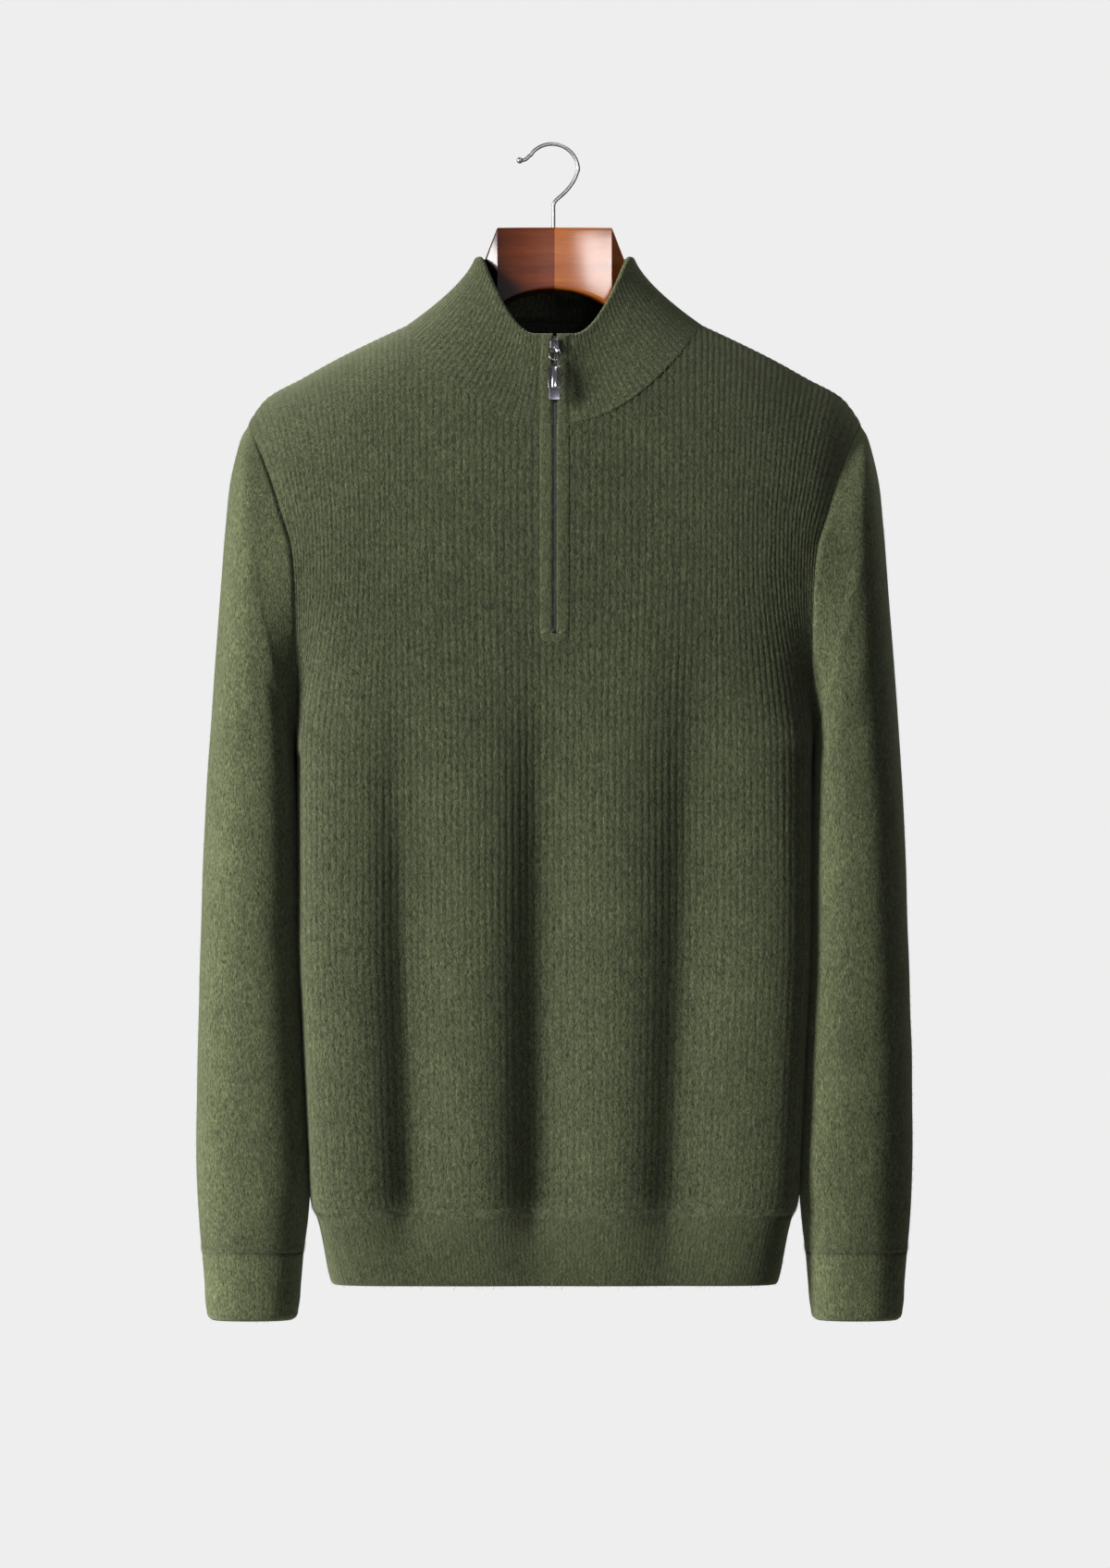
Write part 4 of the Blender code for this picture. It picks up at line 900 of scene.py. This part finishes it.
def build_sleeve(side, name, node):
    seam = armhole_loop(SLEEVE_AROUND)
    seam[:, 0] -= SEAM_LAP
    shares = full_turn(SLEEVE_AROUND, 1)
    surface = smooth_rows([seam] + [ring_points(ring, shares) for ring in SLEEVE], SLEEVE_ROWS)
    normals = outward_normals(surface, closed=True)
    soft = SLEEVE_UNEVENNESS * rough(SLEEVE_ROWS, SLEEVE_AROUND, 9, 7)
    ends = np.minimum(np.arange(SLEEVE_ROWS), np.arange(SLEEVE_ROWS)[::-1]) / 6
    return build_tube(name, node, "plain_knit", PLAIN_KNIT, side, surface, normals,
                      soft * np.minimum(ends, 1)[:, None], SLEEVE_WALL,
                      np.arange(SLEEVE_AROUND) * 2)


def build_cuff(side, name, node):
    shares = full_turn(CUFF_RIBS * 3, 1)
    surface = smooth_rows([ring_points(ring, shares) for ring in CUFF], CUFF_ROWS)
    profile = CUFF_RIB_DEPTH * np.tile((-0.28, 0.12, 0.12), CUFF_RIBS)
    return build_tube(name, node, "band_knit", LIT_CUFF_KNIT, side, surface,
                      outward_normals(surface, closed=True), profile[None, :], BAND_WALL,
                      np.arange(CUFF_RIBS * 3) / 3)


arms = []
for side, word in ((1, "left"), (-1, "right")):
    sleeve, *grids = build_sleeve(side, f"sleeve_{word}_knit", f"sleeve_{word}")
    end = [grid[-3:] for grid in grids]
    naps = [nap(f"sleeve_{word}_nap", "plain_knit", *grids, 17000, 3, 0.6, 0.17, 0.2 * side,
                closed=True),
            nap(f"sleeve_{word}_fringe", "plain_knit", *end, 2600, 2.6, 0.5, 0.15, 0,
                closed=True)]
    cuff, *grids = build_cuff(side, f"cuff_{word}_knit", f"cuff_{word}")
    cuff_nap = nap(f"cuff_{word}_nap", "band_knit", *grids, 900, 2.4, 0.4, 0.16, 0, closed=True)
    arms += [(sleeve, (0.574, 0.60), 0.135, naps), (cuff, (0.227, 0.049), 0.0104, [cuff_nap])]

# ---- collar

SLIT_HALF_WIDTH = 1.5
STRIP_EDGE = 10.4
COLLAR_OVERLAP = 0.7
COLLAR_END = 0.955  # where the rim starts to round over, as a share of the height


def build_collar():
    profile, rib_place = rib_columns(COLLAR_RIBS)
    count = len(profile)
    share = np.linspace(0, 1, count)
    outer_v = np.concatenate(((0, 0.012), np.linspace(0.03, COLLAR_END, 22)))

    def row(v):
        half_width = NECK_HALF_WIDTH + (RIM_HALF_WIDTH - NECK_HALF_WIDTH) * v
        start = asin(SLIT_HALF_WIDTH / half_width)
        angle = start + (2 * pi - 2 * start) * share
        return collar_row(angle, v, COLLAR_OVERLAP if v == 0 else 0)

    surface = np.stack([row(v) for v in outer_v])
    normals = outward_normals(surface)
    depth = COLLAR_RIB_DEPTH * (1 + 0.25 * rough(len(outer_v), count, 3, 5))
    reach = np.where(surface[:, :, 1] < 0, np.abs(surface[:, :, 0]), 1e3)
    band = 1 - smoothstep(STRIP_EDGE - 3.2, STRIP_EDGE + 0.4, reach)
    groove = np.exp(-(((reach - STRIP_EDGE - 0.8) / 1.9) ** 2))
    hem = smoothstep(SLIT_HALF_WIDTH - 0.2, SLIT_HALF_WIDTH + 1.2, reach)
    raised = profile * depth * (1 - band) + band * (0.8 * hem - 0.3) - 0.4 * groove
    outer = surface + normals * raised[:, :, None]
    up = unit(surface[-1] - surface[-2])
    rim = []
    for angle in np.linspace(0, pi, 9)[1:-1]:
        out = normals[-1] * cos(angle) + up * sin(angle)
        place = surface[-1] + (out - normals[-1]) * COLLAR_WALL / 2
        rim.append(place + out * (profile * COLLAR_RIB_DEPTH * (1 - band[-1]))[:, None])
    thickness = (COLLAR_WALL + profile * COLLAR_RIB_DEPTH)[:, None]
    inner = surface[::-1] - normals[::-1] * thickness
    loop = np.concatenate((outer, np.stack(rim), inner))
    rows = len(loop)
    faces = []
    for r in range(rows):
        n = (r + 1) % rows
        for c in range(count - 1):
            faces.append((r * count + c, n * count + c, n * count + c + 1, r * count + c + 1))
    for column, forward in ((0, True), (count - 1, False)):
        for r in range(rows // 2):
            across = [rows - 2 - r, rows - 1 - r] if r + 1 < rows - 2 - r else [rows - 1 - r]
            corners = [r, r + 1, *across]
            face = tuple(k * count + column for k in corners)
            faces.append(face if forward else face[::-1])
    uvs = knit_map(loop, rib_place)
    strip = (np.abs(loop[:, :, 0]) < STRIP_EDGE) & (loop[:, :, 1] < 0)
    uvs[strip, 0] = 0.5
    piece = add_object("collar_knit", loop.reshape(-1, 3), faces, COLLAR_KNIT, uvs.reshape(-1, 2))
    register("rib_knit", piece, node="collar")
    return piece, outer, normals


collar, *grids = build_collar()
collar_nap = nap("collar_nap", "rib_knit", *grids, 6000, 2, 0.35, 0.15, 0.1)

# ---- placket and zip

STRIP_FOOT = 0.347
STRIP_SIDE = ((10.4, 0.25), (10, 0.42), (9.2, 0.62), (8, 0.8), (6.4, 0.9), (4.8, 0.95),
              (3.2, 0.95), (2.2, 0.85), (1.7, 0.65), (1.5, 0.35))
STRIP_CORNER = ((0, 0.42), (0.002, 0.62), (0.006, 0.79), (0.012, 0.91), (0.018, 0.97),
                (0.024, 1))
COLUMN_LENGTH = 240
STRIP_WALL = 0.2


def build_placket():
    left = [(-x, crown) for x, crown in STRIP_SIDE]
    across, crown = np.array(left + list(reversed(STRIP_SIDE))).T
    corner_h, corner_width = np.array(STRIP_CORNER).T
    levels = np.concatenate((
        STRIP_FOOT + corner_h, np.linspace(SLIT_FOOT, 0.97, 40), (0.98, 0.99, 0.998)
    ))
    widths = np.interp(levels - STRIP_FOOT, corner_h, corner_width)
    base = np.stack([
        panel_row(FRONT, across * w / COLUMN_LENGTH, h) for h, w in zip(levels, widths)
    ])
    normals = grid_normals(base, 1)
    middle = len(STRIP_SIDE)
    foot = len(STRIP_CORNER)
    lift = np.tile(crown, (len(levels), 1))
    lift[:foot, middle - 5:middle + 5] = 0.9
    lift[foot - 1, middle - 2:middle + 2] = 0.6
    lift[0] = 0.25
    lift[1, 3:-3] = 0.5
    lift[2, 3:-3] = 0.75
    lift *= 1 + 0.12 * rough(len(levels), len(across), 2.5, 4)
    outer = base + normals * lift[:, :, None]
    uvs = knit_map(base, across / 3)
    piece = shell("placket_knit", outer, base - normals * STRIP_WALL, STRIP_KNIT, 1,
                  slit=(middle - 1, middle, foot), uvs=uvs)
    register("band_knit", piece, node="placket")
    return piece, outer, normals


placket, *grids = build_placket()
placket_nap = nap("placket_nap", "band_knit", *grids, 1400, 2, 0.35, 0.14, 0.1)

TEETH_FOOT = -353
TEETH_TOP = -141
TOOTH_PITCH = 1.55
TEETH_DEPTH = 0.5
TOOTH_HALF_SIZE = (0.78, 0.55, 0.36)

# Points up the centre front, from below the slit to the collar's rim.
line = [panel_row(FRONT, np.zeros(1), h)[0] for h in np.linspace(0.36, 1, 60)]
line = np.array(line + [collar_row(np.zeros(1), v)[0] for v in np.linspace(0, 1, 30)])


def line_depth(height):
    return np.interp(height, line[:, 2], line[:, 1])


def build_zip():
    sections = []
    for height in np.linspace(TEETH_FOOT, TEETH_TOP, 70):
        y = line_depth(height)
        wall = BODY_WALL if height < line[60, 2] else COLLAR_WALL
        outline = ((-1.9, TEETH_DEPTH + 1), (1.9, TEETH_DEPTH + 1), (1.9, wall + 0.5),
                   (6, wall + 0.5), (6, wall + 1.1), (-6, wall + 1.1), (-6, wall + 0.5),
                   (-1.9, wall + 0.5))
        sections.append([(x, y + back, height) for x, back in outline])
    tape = loft("zip_tape", sections, TAPE)
    register("zip_tape", tape, node="zip_chain")
    corners = np.array([(x, y, z) for z in (-1, 1) for y in (-1, 1) for x in (-1, 1)], float)
    quads = ((0, 1, 5, 4), (3, 2, 6, 7), (1, 3, 7, 5), (2, 0, 4, 6), (4, 5, 7, 6), (1, 0, 2, 3))
    vertices, faces = [], []
    for k, height in enumerate(np.arange(TEETH_FOOT + 1, TEETH_TOP, TOOTH_PITCH / 2)):
        side = 1 if k % 2 else -1
        middle = np.array((side * 0.62, line_depth(height) + TEETH_DEPTH, height))
        box = corners * TOOTH_HALF_SIZE
        box[corners[:, 0] == side] *= (1, 0.75, 0.8)
        start = len(vertices)
        vertices.extend(middle + box)
        faces.extend(tuple(start + i for i in quad) for quad in quads)
    register("gunmetal", close_solid("zip_teeth", vertices, faces, TEETH))


build_zip()

HINGE_HEIGHT = -149
HINGE_STAND_OFF = 3.6
PULL_SLOPE = radians(20)
RING_HALF_WIDTH = 4.1
RING_HALF_HEIGHT = 5.1
RING_WIRE = 0.62
HINGE = np.array((0, line_depth(HINGE_HEIGHT) - HINGE_STAND_OFF, HINGE_HEIGHT))
DOWN = np.array((0, -sin(PULL_SLOPE), -cos(PULL_SLOPE)))
OUT = np.array((0, -cos(PULL_SLOPE), sin(PULL_SLOPE)))


def rounded(half_width, half_height, radius, steps=4):
    """The outline of a rectangle with round corners."""
    radius = min(radius, half_width * 0.98, half_height * 0.98)
    points = []
    for turn, x, y in ((0, 1, 1), (1, -1, 1), (2, -1, -1), (3, 1, -1)):
        for k in range(steps + 1):
            angle = pi / 2 * (turn + k / steps)
            points.append((x * (half_width - radius) + radius * cos(angle),
                           y * (half_height - radius) + radius * sin(angle)))
    return points


SLIDER = table("stand_off half_width half_height rise",
    (-0.6, 2.3, 4.4, 0.8), (0.9, 2.4, 4.8, 0.8), (1.2, 3.1, 5, 0.9), (1.6, 3.3, 5.2, 0.9),
    (2.1, 3.1, 5, 0.9), (2.4, 2.6, 4.5, 0.9))


def build_slider():
    sections = []
    slope = (line_depth(HINGE_HEIGHT + 4) - line_depth(HINGE_HEIGHT - 4)) / 8
    for layer in SLIDER:
        y = line_depth(HINGE_HEIGHT + layer.rise) - layer.stand_off
        sections.append([
            (x, y + slope * z, HINGE_HEIGHT + layer.rise + z)
            for x, z in rounded(layer.half_width, layer.half_height, 1.8)
        ])
    plate = loft("slider_plate", sections, NICKEL)
    angles = np.linspace(radians(-15), radians(195), 15)
    arch = [HINGE + 2 * (sin(a) * OUT + cos(a) * DOWN * 1.35) + OUT * -0.6 for a in angles]
    bail = wire("slider_bail", arch, RING_WIRE, NICKEL, X_AXIS, sides=10)
    register("gunmetal", plate, bail, node="zip_slider")


build_slider()


def build_ring():
    path = [HINGE + X_AXIS * RING_HALF_WIDTH * sin(a)
            + DOWN * RING_HALF_HEIGHT * (1 - cos(a)) for a in full_turn(36)]
    ring = wire("ring_wire", path, RING_WIRE, NICKEL, OUT, body="ring", sides=10, closed=True)
    register("gunmetal", ring, node="pull_ring")


build_ring()

TAB = "distance half_width half_thickness corner"
TAB_PLATE = table(TAB,
    (4.6, 3.4, 0.6, 0.6), (4.9, 4.2, 0.85, 0.6), (5.6, 4.6, 1, 0.5), (21.6, 4.6, 1, 0.5),
    (22.1, 4.4, 0.9, 0.5))
TAB_BLOCK = table(TAB,
    (21.9, 3.5, 0.8, 0.4), (22.3, 3.9, 1.15, 0.4), (30.2, 3.9, 1.15, 0.4), (30.9, 3.5, 0.9, 0.4),
    (31.1, 3, 0.6, 0.3))
TAB_BARREL = table(TAB,
    (5.4, 1.2, 0.9, 0.8), (5.7, 1.9, 1.5, 1.2), (6.3, 2.3, 1.9, 1.6), (21, 2.3, 1.9, 1.6),
    (21.6, 1.9, 1.5, 1.2), (21.9, 1.2, 0.9, 0.8))
TAB_NECK = table(TAB,
    (1.4, 0.9, 0.7, 0.6), (2.4, 1.3, 1, 0.9), (4.2, 1.6, 1.1, 1), (5, 1.9, 1.1, 0.9))


def build_tab():
    eye = HINGE + DOWN * 2 * RING_HALF_HEIGHT
    pieces = []
    for name, rows, metal in (
        ("tab_plate", TAB_PLATE, NICKEL), ("tab_block", TAB_BLOCK, GUNMETAL),
        ("tab_barrel", TAB_BARREL, BARREL), ("tab_neck", TAB_NECK, NICKEL),
    ):
        sections = [
            [eye + DOWN * row.distance + X_AXIS * x + OUT * n
             for x, n in rounded(row.half_width, row.half_thickness, row.corner)]
            for row in rows
        ]
        pieces.append(loft(name, sections, metal, body="tab"))
    circle = [eye + 1.85 * (cos(a) * DOWN + sin(a) * OUT) for a in full_turn(24)]
    pieces.append(wire("tab_eye", circle, 0.5, NICKEL, X_AXIS, body="tab", sides=10, closed=True))
    register("gunmetal", *pieces, node="pull_tab")


build_tab()

# ---- hanger and hook

ARM = "x top bottom half_depth"
HEAD = table(ARM,
    (0, -60.3, -104.5, 18.4), (10, -60.3, -105.3, 18.3), (20, -60.3, -107.4, 17.9),
    (30, -60.3, -111, 17.1), (41.2, -60.3, -117.5, 15.8))
SHOULDER_ARM = table(ARM,
    (41.8, -61.2, -118, 15.4), (52.5, -88, -124.5, 10.5), (62, -104, -131, 12),
    (80, -127, -147, 14.5), (107, -145, -166, 15.3), (160, -166, -186, 14.8),
    (196, -186, -201, 12), (206, -193, -202, 7.5))


def arm_stations():
    head_x = np.linspace(HEAD[0].x, HEAD[-1].x, 14)
    arm_x = np.concatenate(((41.8, 52.5), np.linspace(56, 198, 24), (201, 204, 205.4, 206)))
    for rows, places in ((HEAD, head_x), (SHOULDER_ARM, arm_x)):
        curves = [curve(rows, "x", key) for key in ("top", "bottom", "half_depth")]
        for x in places:
            yield x, *(float(read(x)) for read in curves)


def build_hanger_half(name, side, node, wood):
    sections = []
    for x, top, bottom, depth in arm_stations():
        height = (top - bottom) / 2
        corner = 2 if x <= SHOULDER_ARM[0].x else min(5, height * 0.8, depth * 0.6)
        outline = rounded(depth, height, corner, steps=5)
        sections.append([(side * x, y, (top + bottom) / 2 + z) for y, z in outline])
    register("hanger_wood", loft(name, sections, wood, sharp=24), node=node)


build_hanger_half("hanger_left_wood", 1, "hanger_left", LIT_WOOD)
build_hanger_half("hanger_right_wood", -1, "hanger_right", SHADED_WOOD)

HOOK_RADIUS = 1.35
BALL_RADIUS = 2.3
HOOK_POINTS = 150
CROWN_X = -2
CROWN_RADIUS = 19.15
HOOK_STEM = ((-0.8, -61), (-0.8, -55), (-0.8, -48), (-0.8, -43.5), (-0.2, -40.8),
             (1.6, -38.6))
HOOK_NECK = ((4.8, -35.8), (8.2, -32.6), (11.2, -29), (14.2, -24.4), (16.2, -19.6))
HOOK_TIP = ((-18.2, -6.9), (-20.2, -9), (-22.4, -10), (-24, -10.2))


def build_hook():
    angles = np.radians(np.linspace(2, 146, 14))
    crown = [(CROWN_X + CROWN_RADIUS * cos(a), CROWN_RADIUS * sin(a) - 17.5) for a in angles]
    bends = np.array([(x, 0, z) for x, z in HOOK_STEM + HOOK_NECK + tuple(crown) + HOOK_TIP])
    path = smooth_rows(bends, HOOK_POINTS)
    hook = wire("hook_wire", path, HOOK_RADIUS, STEEL, Y_AXIS, sides=16)
    turns = np.linspace(0, pi, 13)
    along = np.stack((-1.2 - BALL_RADIUS * np.cos(turns[::-1]), 0 * turns, 0 * turns), axis=1)
    ball = wire("hook_ball", path[-1] + along, np.maximum(BALL_RADIUS * np.sin(turns), 0.05),
                STEEL, Y_AXIS, sides=18)
    register("hook_steel", hook, ball, node="hanger_hook")


build_hook()

# ---- camera, light and room

CENTRE = (0.0003, 0, -0.462)
CAMERA_DISTANCE = 4.5
FRAME_HEIGHT = 1.136

camera_data = bpy.data.cameras.new("camera")
camera_data.sensor_width = 36
camera_data.lens = 36 * CAMERA_DISTANCE / FRAME_HEIGHT
camera_data.clip_end = 60
camera = add_to_scene("camera", camera_data)
camera.location = (CENTRE[0], -CAMERA_DISTANCE, CENTRE[2])
camera.rotation_euler = (pi / 2, 0, 0)
scene.camera = camera


def area_light(name, azimuth, elevation, distance, size, power):
    """A soft box aimed at the middle of the garment; azimuth 0 is the camera's side, + is right."""
    data = bpy.data.lights.new(name, "AREA")
    data.shape = "RECTANGLE"
    data.size, data.size_y = size
    data.energy = power
    light = add_to_scene(name, data)
    a, e = radians(azimuth), radians(elevation)
    away = Vector((sin(a) * cos(e), -cos(a) * cos(e), sin(e)))
    light.location = Vector(CENTRE) + away * distance
    light.rotation_euler = away.to_track_quat("Z", "Y").to_euler()
    return light


area_light("key", -64, 12, 2.8, (0.7, 1.8), 205)
area_light("crown", 75, 78, 1.6, (0.5, 0.5), 8.5)
glare = area_light("wood_glare", 11.5, 0, 2.5, (0.46, 0.75), 46)
glare.location.z = 0.12
glare.visible_diffuse = False

FLOOR_HEIGHT = -1.75
FLOOR_RADIUS = 1.9


def build_floor():
    """A plain pale floor, well below the garment."""
    outline = [(FLOOR_RADIUS * cos(a), FLOOR_RADIUS * sin(a), FLOOR_HEIGHT)
               for a in full_turn(96)]
    mesh = bpy.data.meshes.new("floor")
    mesh.from_pydata(outline, [], [tuple(range(len(outline)))])
    n = Nodes("pale_floor")
    grain = n.noise(n.place, 40)
    grey = n.mix(grain, (0.60, 0.60, 0.60), (0.68, 0.68, 0.68))
    mesh.materials.append(n.finish(Base_Color=grey, Roughness=0.8))
    add_to_scene("floor", mesh)


build_floor()

world = bpy.data.worlds.new("room")
scene.world = world
world.use_nodes = True
tree = world.node_tree


def background(colour, strength):
    node = tree.nodes.new("ShaderNodeBackground")
    node.inputs["Color"].default_value = (*colour, 1)
    node.inputs["Strength"].default_value = strength
    return node.outputs[0]


rays = tree.nodes.new("ShaderNodeLightPath")
lit = background((0.9, 0.95, 1), 0.03)
for ray, colour, strength in (("Is Glossy Ray", (0.95, 0.97, 1), 0.2),
                              ("Is Camera Ray", (0.855, 0.855, 0.855), 1)):
    mixer = tree.nodes.new("ShaderNodeMixShader")
    for socket, output in zip(mixer.inputs, (rays.outputs[ray], lit, background(colour, strength))):
        tree.links.new(output, socket)
    lit = mixer.outputs[0]
tree.links.new(lit, tree.nodes["World Output"].inputs["Surface"])

scene.view_settings.view_transform = "Standard"

# ---- cloth pieces, with flat sizes and areas, and their naps

for piece, flat, area, naps in (
    (front, (0.470, 0.665), 0.271, front_naps),
    (back, (0.460, 0.665), 0.278, back_naps),
    (hem_front, (0.434, 0.05), 0.0208, [hem_front_nap]),
    (hem_back, (0.420, 0.05), 0.0203, [hem_back_nap]),
    *arms,
    (collar, (0.565, 0.075), 0.0265, [collar_nap]),
):
    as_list(naps)
